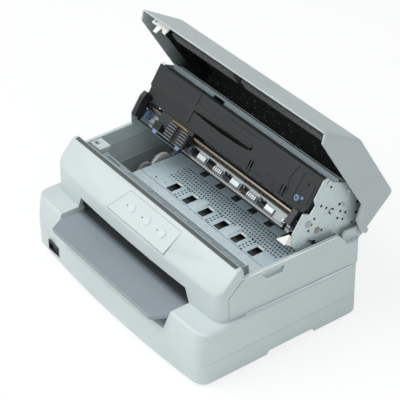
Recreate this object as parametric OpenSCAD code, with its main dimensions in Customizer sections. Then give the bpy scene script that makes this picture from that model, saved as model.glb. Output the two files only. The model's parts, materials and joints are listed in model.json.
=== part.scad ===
// Flatbed dot matrix printer with a lift-up cover, shown with the cover open
// and the print mechanism tilted up, as for clearing the paper path.
// X runs across the printer, Y from front to rear, Z up from the desk.

/* [Lower case] */
// Width of the lower case
case_w = 384; // [370:1:400]
// Distance from the middle of the case to its front face
case_front = 122.8; // [118:0.2:128]
// Distance from the middle of the case to its rear face
case_rear = 140; // [139:0.5:146]
// Thickness of the moulded walls
case_wall = 3; // [2.4:0.1:3.4]
// Height of the feet under the case
foot_h = 3; // [2:0.5:5]
// Height of the ledge that carries the upper housing
ledge_z = 81; // [80.5:0.1:82]
// Height where the front face starts to lean back
lean_z = 46; // [35:1:60]
// How far the front face leans back at the ledge
lean_back = 9.8; // [7:0.2:12]
// Bow of the front face in plan, low down
case_bow = 10; // [6:0.5:12]
// Radius of the vertical corners of the case
case_corner_r = 17; // [12:1:22]
// Height of the sill under the front guide
sill_z = 53; // [48:1:58]
// Half width of the front cut-out at the sill
cut_half = 120; // [117:1:124]

/* [Upper housing] */
// Half width of the upper housing at the front
housing_half_front = 184.5; // [184:0.5:186]
// Half width of the upper housing at the rear
housing_half_rear = 189.5; // [187:0.5:190]
// Height of the side walls
housing_top = 135; // [134:0.5:136]
// Height of the rear wall, under the cover
housing_rear_top = 117; // [112:1:118]
// Thickness of the side walls at their top band
housing_band = 6; // [5:0.5:6]
// Distance from the middle to the front face of the housing
face_front = 85.6; // [84:0.2:88]
// Height of the front edge of the sloping panel
panel_z = 124; // [120:1:127]
// Distance from the middle to the ridge behind the panel
ridge_front = 50; // [49:0.5:54]
// Height of the ridge
ridge_z = 150; // [146:0.5:150]
// Bow of the front face in plan
face_bow = 5.7; // [3:0.1:8]
// Top of the paper slot
slot_z = 100; // [96:1:104]

/* [Control panel] */
// Radius of a push button
button_r = 5.8; // [4.5:0.1:6.4]
// Distance between two buttons
button_pitch = 33.5; // [28:0.5:36]
// Travel of a button
button_travel = 1.2; // [0.8:0.1:1.4]
// Width of the power switch
switch_w = 22; // [18:0.5:24]
// Height of the power switch
switch_h = 11; // [9:0.5:12]

/* [Cover] */
// Width of the cover
cover_w = 380; // [378:1:384]
// Thickness of the cover
cover_wall = 3; // [2.4:0.1:3.4]
// Height of the cover's flat top when it is shut
cover_top = 184; // [184:0.5:190]
// Angle by which the cover stands open
cover_open = 60; // [40:1:64]
// Distance from the middle to the hinge line
hinge_y = 147; // [146:0.5:148]
// Height of the hinge line
hinge_z = 125.5; // [125:0.1:126]
// Radius of the hinge pins
hinge_pin_r = 2.4; // [2:0.1:3.2]

/* [Print mechanism] */
// Angle by which the mechanism is tilted up
mech_tilt = 40; // [20:1:42]
// Distance from the middle to the tilting shaft
pivot_y = 131; // [129:0.5:132]
// Height of the tilting shaft
pivot_z = 91; // [90:0.5:92]
// Radius of the tilting shaft
pivot_r = 4; // [3:0.5:5]
// Half distance between the outsides of the side plates
plate_half = 176; // [175:0.5:177]
// Thickness of the steel side plates
plate_t = 1.6; // [1.2:0.1:2]
// Radius of the carriage shaft
rail_r = 4.5; // [3.5:0.5:5]
// Place of the print head along the printer
carriage_x = -96; // [-110:1:110]
// Number of cooling fins in one column of the print head
fins = 6; // [4:1:7]
// Radius of the pinch rollers
pinch_r = 6.6; // [5:0.1:6.7]
// Width of the pinch rollers
pinch_w = 11.4; // [10:0.1:11.8]

/* [Paper path] */
// Height of the perforated paper table
table_z = 78; // [77.5:0.1:78.2]
// Thickness of the steel sheets
sheet = 1.4; // [1:0.1:1.6]
// Half width of the paper table
table_half = 153; // [150:0.5:153.5]
// Number of feed rollers in a row
rollers = 6; // [4:2:8]
// Distance between two feed rollers
roller_pitch = 36; // [30:1:36]
// Radius of the feed rollers
roller_r = 9.4; // [7:0.1:9.5]
// Width of a feed roller
roller_w = 10.4; // [8:0.1:11]
// Distance from the middle to the front roller row
row_y = 46.4; // [46:0.1:47]
// Distance between two perforations
hole_pitch = 5.4; // [5:0.1:6.5]
// Radius of a perforation
hole_r = 1.45; // [0.8:0.05:1.6]

/* [Hidden] */
$fn = 48;
eps = 0.02;

// Colours
case_grey = [0.80, 0.82, 0.83];
guide_grey = [0.45, 0.47, 0.50];
steel = [0.70, 0.74, 0.77];
dark_plastic = [0.16, 0.18, 0.18];
rubber_black = [0.08, 0.08, 0.09];

// Corners of the shut cover's side, in Y and Z
tip = [-41, ridge_z + 0.9];
rim = [-29.4, housing_top + 4.3];
step_top = [105, housing_top + 4.3];
step_low = [119.5, housing_rear_top + 5.2];
heel = [148.2, housing_rear_top + 2.4];
crown_rear = [132.4, cover_top];
crown_front = [17.8, cover_top];

// The middle of the open printer, which lies behind the middle of its case
guide_front = 133;
rear_reach = hinge_y + (crown_rear[0] - 3 - hinge_y) * cos(cover_open) + (crown_rear[1] - hinge_z) * sin(cover_open);
origin_y = (rear_reach - guide_front) / 2;

// Clearances
fit = 0.05;       // radial, a shaft in its bearing
gap = 0.3;        // between pieces that only come close
slide_gap = 0.3;  // round a button in its hole

case_half = case_w / 2;
floor_t = 2.5;
floor_z = foot_h + floor_t;
top_bow = case_bow * 0.45;
cut_flare = 7;
slot_half = 122;
panel_run = face_front - 1.1 - ridge_front;
panel_rise = ridge_z - panel_z;
panel_angle = atan(panel_rise / panel_run);
panel_front = face_front - 1.1;
part_y = -64;
ridge_d = 8.2;
strip_w = 6.3;

frame_half = 155.6;
roller_z = table_z + 0.3 - roller_r;
gear_m = 1;
gear_t = 5;
feed_teeth = 24;
idler_teeth = 32;
pinion_teeth = 14;
idler_y = row_y + gear_m * (feed_teeth + idler_teeth) / 2;
rear_row_y = 2 * idler_y - row_y;
pinion_z = roller_z - gear_m * (idler_teeth + pinion_teeth) / 2;
gear_x = -frame_half - 1 - gear_t;
platen_y = [21.5, 35.5];
platen_z = table_z + 0.6;

module placed() translate([0, -origin_y, 0]) children();

// A profile drawn in Y and Z, pushed along X from x0 to x1
module across(x0, x1) translate([x0, 0, 0]) rotate([90, 0, 90]) linear_extrude(x1 - x0) children();

// A thin slice of an outline at height z, for lofting
layer_t = 0.3;
module layer(z) translate([0, 0, z]) linear_extrude(layer_t) children();

// A rod along X
module rod(x0, x1, y, z, r) translate([x0, y, z]) rotate([0, 90, 0]) cylinder(h = x1 - x0, r = r);

// A box given by its two corners
module block(a, b) translate(a) cube(b - a);

module both_sides() {
    children();
    mirror([1, 0, 0]) children();
}

// The print mechanism is drawn lowered, as it prints, and then tilted up about its shaft
module raised() translate([0, pivot_y, pivot_z]) rotate([-mech_tilt, 0, 0]) translate([0, -pivot_y, -pivot_z]) children();

// The cover is drawn shut and then swung open about its hinge line
module opened() translate([0, hinge_y, hinge_z]) rotate([-cover_open, 0, 0]) translate([0, -hinge_y, -hinge_z]) children();

// The sloping panel: x across, y up the slope, z out of it
module on_panel() translate([0, -panel_front, panel_z]) rotate([panel_angle, 0, 0]) children();

function arc(r, a0, a1, n) = [for (i = [0:n]) let (a = a0 + (a1 - a0) * i / n) [r * cos(a), r * sin(a)]];

module rounded(r) offset(r = r) offset(delta = -r) children();

// A slot along x with round ends
module slot2d(length, width) hull() for (s = [-1, 1]) translate([s * (length - width) / 2, 0]) circle(d = width, $fn = 24);

// Outline of a spur gear: each flank is the involute of the base circle
module gear2d(teeth, m, play = 0.12) {
    rp = m * teeth / 2;
    rb = rp * cos(20);
    ra = rp + 0.92 * m;
    rr = rp - 1.2 * m;
    start = max(rb, rr);
    function inv(r) = sqrt(pow(r / rb, 2) - 1) * 180 / PI - acos(rb / r);
    half = 90 / teeth - play / rp * 90 / PI;
    steps = [0, 0.35, 0.7, 1];
    rs = [for (s = steps) start + (ra - start) * s];
    polygon([for (k = [0:teeth - 1]) let (c = 360 * k / teeth) each concat(
        [[rr * cos(c - half - inv(rp)), rr * sin(c - half - inv(rp))]],
        [for (r = rs) let (a = c - half - inv(rp) + inv(r)) [r * cos(a), r * sin(a)]],
        [for (i = [3:-1:0]) let (a = c + half + inv(rp) - inv(rs[i])) [rs[i] * cos(a), rs[i] * sin(a)]],
        [[rr * cos(c + half + inv(rp)), rr * sin(c + half + inv(rp))]]
    )]);
}

module gear(x, y, z, teeth, bore, turn = 0) translate([x, y, z]) rotate([90, 0, 90]) difference() {
    union() {
        linear_extrude(gear_t) rotate(turn) gear2d(teeth, gear_m);
        if (bore > 0) cylinder(h = gear_t, r = bore + 2.4);
    }
    if (bore > 0) translate([0, 0, -1]) cylinder(h = gear_t + 2, r = bore);
}

// Lower case

// A bowed front edge with a round corner at each end
function bowed_front(half, front, bow, r) = let (c = half - r, y = r - front + bow * pow(c / half, 2)) concat(
    [for (a = [180:15:255]) [-c + r * cos(a), y + r * sin(a)]],
    [for (i = [-6:6]) let (x = c * i / 6) [x, -front + bow * pow(x / half, 2)]],
    [for (a = [-75:15:0]) [c + r * cos(a), y + r * sin(a)]]
);
module case_plan(front, bow, inset) let (half = case_half - inset, r = case_corner_r - inset) polygon(concat(
    bowed_front(half, front - inset, bow, r),
    [for (a = [0:15:90]) [half - r + r * cos(a), case_rear - inset - r + r * sin(a)]],
    [for (a = [90:15:180]) [-half + r + r * cos(a), case_rear - inset - r + r * sin(a)]]
));
// Where the front starts to lean back, the sides and the rear go straight on
module lean_plan(inset) polygon(bowed_front(case_half - inset, case_front - inset, case_bow, case_corner_r - inset));

module case_outer() hull() {
    layer(foot_h) case_plan(case_front, case_bow, 1.6);
    layer(foot_h + 2) case_plan(case_front, case_bow, 0);
    layer(lean_z) lean_plan(0);
    layer(ledge_z - 2.6) case_plan(case_front - lean_back + 0.4, top_bow, 0);
    layer(ledge_z - layer_t) case_plan(case_front - lean_back, top_bow, 2.2);
}

module case_cavity() {
    translate([0, 0, floor_z + 0.4]) linear_extrude(lean_z - floor_z) case_plan(case_front, case_bow, case_wall + 0.5);
    translate([0, 0, floor_z]) linear_extrude(ledge_z - case_wall - floor_z) case_plan(case_front - lean_back, top_bow, case_wall);
}

module housing_plan(inset) {
    front = 100;
    offset(r = 9) offset(delta = -9 - inset) polygon([
        [-housing_half_front, -front], [housing_half_front, -front],
        [housing_half_front, -70], [housing_half_rear, case_rear],
        [-housing_half_rear, case_rear], [-housing_half_front, -70]
    ]);
}

module front_cut() rotate([90, 0, 0]) translate([0, 0, 76]) linear_extrude(70) polygon([
    [-cut_half, sill_z], [cut_half, sill_z], [cut_half + cut_flare, ledge_z + 1], [-cut_half - cut_flare, ledge_z + 1]
]);

grip_y = [-8, 62];
module grip_profile(grow) polygon([
    [grip_y[0] - 6 - grow, 0], [grip_y[0] - grow, foot_h + 7 + grow],
    [grip_y[1] + grow, foot_h + 7 + grow], [grip_y[1] + 6 + grow, 0]
]);

switch_x = -139;
switch_z = 20.5;
switch_y = -case_front + case_bow * pow(switch_x / case_half, 2);
inlet = [-124, 34, 31, 25];        // x, z, width, height
ports = [[54, 34, 46, 15], [96, 34, 16, 14], [130, 34, 34, 14]];

module port_holes(grow = 0) for (p = concat(ports, [inlet]))
    block([p[0] - p[2] / 2 - grow, case_rear - 8, p[1] - p[3] / 2 - grow], [p[0] + p[2] / 2 + grow, case_rear + 4, p[1] + p[3] / 2 + grow]);

module lower_case() color(case_grey) placed() {
    difference() {
        union() {
            difference() {
                case_outer();
                case_cavity();
            }
            intersection() {
                case_outer();
                block([-cut_half - cut_flare - case_wall, -case_front, sill_z - case_wall], [cut_half + cut_flare + case_wall, -76, ledge_z]);
            }
            block([-cut_half - cut_flare - case_wall, -76, sill_z - case_wall], [cut_half + cut_flare + case_wall, -73, guide_z - 3.6]);
            both_sides() intersection() {
                block([case_half - 15, -200, foot_h], [case_half - 1.5, 200, 20]);
                across(case_half - 15, case_half) grip_profile(3);
            }
        }
        front_cut();
        block([-cut_half - cut_flare + 2, -77, guide_z - 3.4], [cut_half + cut_flare - 2, -74.5, ledge_z + 1]);
        translate([0, 0, ledge_z - 6]) linear_extrude(8) polygon([
            [-housing_half_front + case_wall + 0.6, -75], [housing_half_front - case_wall - 0.6, -75],
            [housing_half_rear - case_wall - 0.6, case_rear - case_wall - 0.5],
            [-housing_half_rear + case_wall + 0.6, case_rear - case_wall - 0.5]
        ]);
        both_sides() across(case_half - 12, case_half + 1) grip_profile(0);
        block([switch_x - switch_w / 2 - 1.4, -case_front - 5, switch_z - switch_h / 2 - 1.4],
            [switch_x + switch_w / 2 + 1.4, -case_front + 14, switch_z + switch_h / 2 + 1.4]);
        block([switch_x - switch_w / 2 - 2.4, -case_front - 5, switch_z - switch_h / 2 - 2.4],
            [switch_x + switch_w / 2 + 2.4, switch_y + 0.6, switch_z + switch_h / 2 + 2.4]);
        port_holes(gap);
        for (i = [0:13]) block([-98 + 9 * i, case_rear - 8, 52], [-94 + 9 * i, case_rear + 2, 70]);
        for (i = [0:9], s = [-1, 1]) block([s * 70 + 6 * i - 29, -60, foot_h - 1], [s * 70 + 6 * i - 26, -20, floor_z + 1]);
    }
}

foot_places = [[-160, -88], [160, -88], [-160, 112], [160, 112]];
module rubber_feet() color(rubber_black) placed() for (p = foot_places) translate(p)
    rotate_extrude() polygon([[0, 0], [8, 0], [9, 1], [9, foot_h], [0, foot_h]]);

standoffs = [[0, -70], [140, -70], [0, 50], [140, 50]];
board_z = floor_z + 8;
plate_z = floor_z + 1.5;
module base_plate() color(steel) placed() difference() {
    union() {
        block([-166, -70, floor_z], [166, 132, plate_z]);
        for (p = standoffs) translate([p[0], p[1], plate_z - eps]) cylinder(h = board_z - plate_z + eps, r = 3.5);
    }
    for (i = [-3:3]) translate([i * 40, -58, floor_z - 1]) cylinder(h = 5, r = 4);
}

// Front guide: a moulded shelf whose rim turns down, running in through the slot
guide_z = 76;
guide_t = 3;
function guide_outline(grow) = [
    [-113 - grow, -guide_front - grow], [113 + grow, -guide_front - grow],
    [cut_half + 5 + grow, -112 - grow * 0.4], [cut_half + 5 + grow, -102], [slot_half - 4 + grow, -88],
    [slot_half - 4 + grow, -31], [-slot_half + 4 - grow, -31],
    [-slot_half + 4 - grow, -88], [-cut_half - 5 - grow, -102], [-cut_half - 5 - grow, -112 - grow * 0.4]
];
module front_guide() color(guide_grey) placed() {
    difference() {
        hull() {
            layer(guide_z - 7) rounded(3) polygon(guide_outline(-1.2));
            layer(guide_z - 1) rounded(3) polygon(guide_outline(0));
            layer(guide_z - layer_t) rounded(3) polygon(guide_outline(-0.9));
        }
        translate([0, 0, guide_z - 12]) linear_extrude(12 - guide_t) rounded(2) polygon(guide_outline(-2.6));
        block([-140, -90, guide_z - 12], [140, -30, guide_z - guide_t]);
    }
    for (x = [-90:30:90]) block([x - 0.8, -128, guide_z - 6], [x + 0.8, -92, guide_z - guide_t + eps]);
}

module inner_guide() color(guide_grey) placed() {
    across(-table_half, table_half) polygon([
        [-30.6, guide_z - 6], [-30.6, guide_z], [-26, guide_z + 0.4], [platen_y[0] - gap, table_z], [platen_y[0] - gap, table_z - 6]
    ]);
    for (x = [-135:27:135]) across(x - 0.8, x + 0.8) polygon([
        [-26, guide_z], [-22, guide_z + 1.5], [12, table_z + 0.9], [18, table_z - 0.5]
    ]);
}

// Upper housing: side and rear walls
finger_y = [-15.5, 21];
module finger_cut() across(housing_half_front - 2.4, housing_half_rear + 4) polygon([
    [finger_y[0], housing_top - 5], [finger_y[1], housing_top - 5], [finger_y[1] - 4, housing_top - 15.5], [finger_y[0] + 9, housing_top - 15.5]
]);
hump_x = [plate_half + 4.4, housing_half_rear - 6.1];
module side_housing() color(case_grey) placed() {
    difference() {
        hull() {
            layer(ledge_z) housing_plan(0);
            layer(housing_top - 1.6) housing_plan(0);
            layer(housing_top - 0.5) housing_plan(0.5);
            layer(housing_top - layer_t) housing_plan(1.6);
        }
        translate([0, 0, ledge_z - 1]) linear_extrude(housing_top - ledge_z - 19) housing_plan(case_wall);
        translate([0, 0, housing_top - 22]) linear_extrude(30) housing_plan(housing_band);
        across(-200, 200) polygon([
            [-120, ledge_z - 1], [part_y, ledge_z - 1], [part_y, panel_z - 9], [-ridge_front + ridge_d + gap, ridge_z - 15],
            [-ridge_front + ridge_d + gap, ridge_z + 10], [-120, ridge_z + 10]
        ]);
        across(-200, 200) polygon([
            [104, housing_top + 1], [118, housing_rear_top], [160, housing_rear_top], [160, housing_top + 1]
        ]);
        both_sides() finger_cut();
    }
    both_sides() difference() {
        union() {
            across(hump_x[0], hump_x[1]) polygon([
                [114, 104], [114, housing_top - 6], [118, housing_top - 2], [136, housing_top - 2], [hinge_y, hinge_z + 6],
                [hinge_y, hinge_z - 6], [139, 112], [139, 104]
            ]);
            rod(hump_x[0], hump_x[1], hinge_y, hinge_z, 6);
        }
        rod(hump_x[0] - 1, hump_x[1] + 1, hinge_y, hinge_z, hinge_pin_r + fit);
    }
}

// Upper housing: front face, sloping panel and ridge
// b is how far the face has bowed back, c how far its round corner has
function face_points(b, c) = let (f = face_front - b - c, z = panel_z + c * 0.7)
    [[-f, ledge_z], [-f + 1.0, z - 5], [-f + 1.7, z - 2], [-f + 3.6, z + 0.6]];
function ridge_points(drop) = [
    [-ridge_front - 1.2, ridge_z - 0.9 - drop], [-ridge_front + 0.6, ridge_z - drop],
    [-ridge_front + ridge_d - 1, ridge_z - drop], [-ridge_front + ridge_d, ridge_z - 1 - drop]
];
module face_solid() hull() {
    r = 13;
    flat = housing_half_front - r;
    for (i = [-4:4]) let (x = flat * i / 4)
        across(x, x + eps) polygon(face_points(face_bow * pow(x / flat, 2), 0));
    for (a = [22.5, 45, 67.5, 90]) both_sides() let (x = flat + r * sin(a)) across(x - eps, x) polygon(concat(
        face_points(face_bow, r * (1 - cos(a))),
        a < 40 ? [] : ridge_points(a < 60 ? 0 : a < 80 ? 0.6 : 2.2),
        a < 80 ? [] : [[-ridge_front + ridge_d, ledge_z]]
    ));
}
panel_t = 3;
plate_xs = [-52, -37, 75];
module panel_outline(grow) polygon([
    [plate_xs[0] - grow, 1.2 - grow], [plate_xs[2] - 1 + grow, 1.2 - grow], [plate_xs[2] + grow, 37 + grow], [plate_xs[1] - grow, 37 + grow]
]);
button_xs = [for (i = [-1:1]) 18.3 + i * button_pitch];
button_s = 19.7;
lens_xs = [for (x = button_xs) x - 10.5];
module front_housing() color(case_grey) placed() difference() {
    face_solid();
    across(-housing_half_front + case_wall + 2.5, housing_half_front - case_wall - 2.5) polygon([
        [-face_front + face_bow + panel_t, ledge_z - 1], [-panel_front + face_bow + panel_t + 0.4, panel_z - 2],
        [-ridge_front + 1.2, ridge_z - 4.2], [-ridge_front + ridge_d - 2.4, ridge_z - 4.2],
        [-ridge_front + ridge_d - 2.4, ridge_z - 22], [-ridge_front + ridge_d + 1, ridge_z - 22], [-ridge_front + ridge_d + 1, ledge_z - 1]
    ]);
    // side cheeks behind the parting line make room for the side housing
    both_sides() across(housing_half_front - case_wall - 2.6, housing_half_front + 5) polygon([
        [part_y - gap, ledge_z - 1], [part_y - gap, panel_z - 9 + gap * 2], [-ridge_front + ridge_d + gap, ridge_z - 15 + gap * 2],
        [-ridge_front + ridge_d + 5, ledge_z - 1]
    ]);
    rotate([90, 0, 0]) translate([0, 0, 60]) linear_extrude(40) polygon([
        [-slot_half - 5, ledge_z - 2], [-slot_half - 3, ledge_z + 4], [-slot_half + 3, slot_z], [slot_half - 3, slot_z],
        [slot_half + 3, ledge_z + 4], [slot_half + 5, ledge_z - 2]
    ]);
    block([-178, -ridge_front, ridge_z - 1], [178, -ridge_front + strip_w, ridge_z + 2]);
    on_panel() translate([0, 0, -1.2]) linear_extrude(10) panel_outline(0.15);
    on_panel() for (x = button_xs) translate([x, button_s, -10]) cylinder(h = 20, r = button_r + slide_gap + 0.3);
    on_panel() for (x = lens_xs) translate([x, button_s, -10]) cylinder(h = 20, r = 1.5);
}

module edge_strip() color(rubber_black) placed() across(-178, 178) polygon([
    [-ridge_front + 0.1, ridge_z - 1], [-ridge_front + 0.1, ridge_z + 0.2], [-ridge_front + 0.8, ridge_z + 0.6],
    [-ridge_front + strip_w - 0.8, ridge_z + 0.6], [-ridge_front + strip_w - 0.1, ridge_z + 0.2], [-ridge_front + strip_w - 0.1, ridge_z - 1]
]);

module control_plate() color(case_grey) placed() on_panel() difference() {
    translate([0, 0, -1.2]) linear_extrude(1) panel_outline(0);
    for (x = button_xs) translate([x, button_s, -4]) cylinder(h = 8, r = button_r + slide_gap);
    for (x = lens_xs) translate([x, button_s, -4]) cylinder(h = 8, r = 1.25);
}

module status_lenses() color([0.3, 0.5, 0.35]) placed() on_panel() for (x = lens_xs) translate([x, button_s, -3.4]) {
    cylinder(h = 3.4, r = 1.2);
    cylinder(h = 0.6, r = 1.45);
}

module button(i) placed() on_panel() translate([button_xs[i], button_s, 0]) rotate_extrude() polygon([
    [0, -7], [2.2, -7], [2.2, -4.6 - button_travel / 2], [button_r + 0.1, -4.6 - button_travel / 2], [button_r, 0.6],
    [button_r - 0.7, 1.2], [button_r - 2, 1.3], [0, 1.0]
]);
module left_button() color(case_grey) button(0);
module middle_button() color(case_grey) button(1);
module right_button() color(case_grey) button(2);

module switch_bezel() color(dark_plastic) placed() translate([switch_x, switch_y, switch_z]) {
    w = switch_w / 2;
    h = switch_h / 2;
    difference() {
        union() {
            block([-w - 1.2, -0.6, -h - 1.2], [w + 1.2, 11, h + 1.2]);
            block([-w - 2.2, -1.4, -h - 2.2], [w + 2.2, 0.4, h + 2.2]);
        }
        block([-w, -4, -h], [w, 9.5, h]);
    }
}

module power_switch() color(rubber_black) placed() translate([switch_x, switch_y + 3, switch_z])
    translate([0, 0, -switch_h / 2 + gap]) linear_extrude(switch_h - 2 * gap) polygon([
        for (q = [[-1, -0.6], [-0.5, -1.6], [0, -1.9], [0.5, -3.0], [1, -5.2], [0.95, 1], [0.5, 4.2], [-0.5, 4.2], [-0.95, 1.5]])
            [q[0] * (switch_w / 2 - 1.2), q[1]]
    ]);

// Latch seat: a shelf at the left with a pocket under the cover's strike plate
seat_y = [-26, -8.5];
hook_x = 173;
hook_y = -19;
strike_x = [141, 176];
module latch_seats() color(case_grey) placed() mirror([1, 0, 0]) difference() {
    across(156, plate_half + 3.4) polygon([
        [seat_y[0], housing_top - 1], [seat_y[1], housing_top - 1], [seat_y[1], housing_top - 4], [seat_y[0] + 5, housing_top - 16],
        [seat_y[0], housing_top - 16]
    ]);
    block([hook_x - 4, hook_y - 3, housing_top - 20], [hook_x + 4, hook_y + 3, housing_top]);
}

// Front rail: a slotted steel channel behind the ridge
rail_z = 128;
module front_rail() color(steel) placed() difference() {
    across(-frame_half + plate_t, frame_half - plate_t) polygon([
        [-27, rail_z], [-17, rail_z], [-17, rail_z - sheet], [-25.6, rail_z - sheet],
        [-25.6, rail_z - 17], [-17, rail_z - 17], [-17, rail_z - 17 - sheet], [-27, rail_z - 17 - sheet]
    ]);
    for (x = [-130:52:130]) translate([x, -21.5, rail_z - 5]) linear_extrude(8) slot2d(30, 2.4);
}

module platen() color([0.80, 0.85, 0.88]) placed() across(-table_half, table_half) polygon([
    [platen_y[0], table_z - 8], [platen_y[0], platen_z - 1], [platen_y[0] + 1.2, platen_z],
    [platen_y[1] - 1, platen_z], [platen_y[1], platen_z - 0.8], [platen_y[1], table_z - 8]
]);

// Perforated paper table with roller windows and raised pads
table_y = [platen_y[1] + gap, 120];
window = [12.6, 18.4];
roller_xs = [for (i = [0:rollers - 1]) (i - (rollers - 1) / 2) * roller_pitch];
module perforations() {
    cols = floor(table_half * 1.52 / hole_pitch);
    rows = 6;
    for (j = [0:rows - 1], i = [0:cols]) let (x = (i - cols / 2 + (j % 2) / 2) * hole_pitch)
        if (abs(x) < table_half - 34) translate([x, row_y + 15.5 + j * hole_pitch]) circle(r = hole_r, $fn = 16);
    for (k = [0:2:rollers - 2], i = [-0.5, 0.5], j = [0:4])
        translate([(roller_xs[k] + roller_xs[k + 1]) / 2 + i * hole_pitch, row_y - 8.4 + j * hole_pitch - i * 1.4]) circle(r = hole_r, $fn = 16);
}
pad_xs = concat([roller_xs[0] - roller_pitch / 2], [for (k = [1:2:rollers - 2]) (roller_xs[k] + roller_xs[k + 1]) / 2]);
module paper_table() color(steel) placed() {
    difference() {
        union() {
            translate([-table_half, table_y[0], table_z - sheet]) cube([2 * table_half, table_y[1] - table_y[0], sheet]);
            block([-table_half, table_y[1] - sheet, table_z - 18], [table_half, table_y[1], table_z]);
            both_sides() block([table_half - sheet, table_y[0], table_z - 12], [table_half, table_y[1], table_z]);
            for (x = pad_xs) translate([x, row_y + 1, table_z - eps]) hull() {
                linear_extrude(eps) rounded(2) square([19, 19], center = true);
                translate([0, 0, 0.5]) linear_extrude(eps) rounded(2) square([15, 15], center = true);
            }
        }
        translate([0, 0, table_z - 3]) linear_extrude(8) {
            perforations();
            for (x = roller_xs, y = [row_y, rear_row_y]) translate([x + 0.6, y + (y == row_y ? 0.9 : 0)]) square(window, center = true);
            for (x = pad_xs) translate([x + 2, row_y - 2]) circle(r = 1.2, $fn = 16);
            translate([-125, row_y - 4]) circle(r = 1.5, $fn = 16);
        }
        for (y = [row_y, rear_row_y]) rod(-table_half - 1, table_half + 1, y, roller_z, 4.8);
    }
}

// Lower side frames
module frame_outline() difference() {
    union() {
        rounded(2) polygon([
            [-33, plate_z], [-33, rail_z - 3], [-12, rail_z - 3], [-12, table_z - 12], [58, table_z - 12], [64, table_z - 3],
            [112, table_z - 2], [120, pivot_z + 9], [136, pivot_z + 9], [136, 70], [128, 40], [128, plate_z], [84, plate_z], [76, 30],
            [20, 30], [12, plate_z]
        ]);
        translate([row_y, roller_z]) circle(r = 7.6);
    }
    translate([46, 46]) rounded(2) square([34, 14], center = true);
    translate([104, 50]) circle(r = 9);
}
module side_frame(s) difference() {
    union() {
        across(s > 0 ? frame_half - plate_t : -frame_half, s > 0 ? frame_half : -frame_half + plate_t) frame_outline();
        for (y = [[-33, 12], [84, 128]]) block([s > 0 ? frame_half - 14 : -frame_half, y[0], plate_z], [s > 0 ? frame_half : -frame_half + 14, y[1], plate_z + plate_t]);
    }
    for (y = [row_y, rear_row_y]) rod(-200, 200, y, roller_z, 4 + fit);
    rod(-200, 200, pivot_y, pivot_z, pivot_r);
    if (s < 0) {
        rod(-200, 0, idler_y, roller_z, 3);
        rod(-200, 0, idler_y, pinion_z, 4.5);
    }
}
module left_frame() color(steel) placed() side_frame(-1);
module right_frame() color(steel) placed() side_frame(1);

module pivot_shaft() color([0.62, 0.64, 0.66]) placed() {
    rod(-plate_half - 1.6, plate_half + 1.6, pivot_y, pivot_z, pivot_r);
    both_sides() rod(plate_half + 0.4, plate_half + 1.6, pivot_y, pivot_z, pivot_r + 1.6);
}

module feed_motor() color([0.35, 0.36, 0.38]) placed() {
    rod(-frame_half + plate_t, -116, idler_y, pinion_z, 19);
    rod(-118, -113, idler_y, pinion_z, 7);
    rod(-frame_half - 1, -frame_half + 2, idler_y, pinion_z, 4.4);
    rod(gear_x, -frame_half - 0.5, idler_y, pinion_z, 2);
}

module main_board() color([0.12, 0.38, 0.24]) placed() {
    block([-8, -78, board_z], [150, 58, board_z + 1.6]);
    for (i = [0:3]) block([6 + 34 * i, -64, board_z + 1.6 - eps], [28 + 34 * i, -44, board_z + 4.5]);
    for (i = [0:4]) translate([16 + 26 * i, 0, board_z + 1.6 - eps]) cylinder(h = 16, r = 5);
    block([14, 24, board_z + 1.6 - eps], [132, 32, board_z + 11]);
}

module power_supply() color([0.66, 0.68, 0.69]) placed() difference() {
    block([-105, 10, plate_z], [-25, 122, plate_z + 38]);
    for (i = [0:8]) block([-98 + 8 * i, 20, plate_z + 36], [-94 + 8 * i, 110, plate_z + 39]);
}

module rear_sockets() color([0.2, 0.22, 0.24]) placed() for (p = ports) difference() {
    block([p[0] - p[2] / 2, case_rear - 14, p[1] - p[3] / 2], [p[0] + p[2] / 2, case_rear - 0.4, p[1] + p[3] / 2]);
    block([p[0] - p[2] / 2 + 3, case_rear - 6, p[1] - p[3] / 2 + 3], [p[0] + p[2] / 2 - 3, case_rear + 1, p[1] + p[3] / 2 - 3]);
}

module power_inlet() color(rubber_black) placed() {
    difference() {
        block([inlet[0] - inlet[2] / 2, case_rear - 22, inlet[1] - inlet[3] / 2], [inlet[0] + inlet[2] / 2, case_rear - 0.4, inlet[1] + inlet[3] / 2]);
        translate([inlet[0], case_rear - 17, inlet[1]]) rotate([-90, 0, 0]) linear_extrude(20) polygon([
            [-12, -6], [-8, -9], [8, -9], [12, -6], [12, 9], [-12, 9]
        ]);
    }
    for (x = [-7, 0, 7]) block([inlet[0] + x - 1, case_rear - 17.5, inlet[1] - 2 - (x == 0 ? 3 : 0)], [inlet[0] + x + 1, case_rear - 4, inlet[1] + 2 - (x == 0 ? 3 : 0)]);
}

module screw_x(x, y, z, s) translate([x, y, z]) rotate([0, s * 90, 0]) difference() {
    cylinder(h = 1.8, r = 3);
    translate([0, 0, 0.9]) linear_extrude(2) {
        square([4, 0.8], center = true);
        square([0.8, 4], center = true);
    }
}
module frame_screws() color([0.8, 0.8, 0.8]) placed() {
    for (y = [24, 112]) screw_x(frame_half, y, table_z - 20, 1);
    for (p = [[24, 56], [114, 44]]) screw_x(-frame_half, p[0], p[1], -1);
    for (s = [-1, 1], y = [-24, 4, 92, 120]) translate([s * (frame_half - 8), y, plate_z + plate_t]) cylinder(h = 1.8, r = 3);
}

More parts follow.
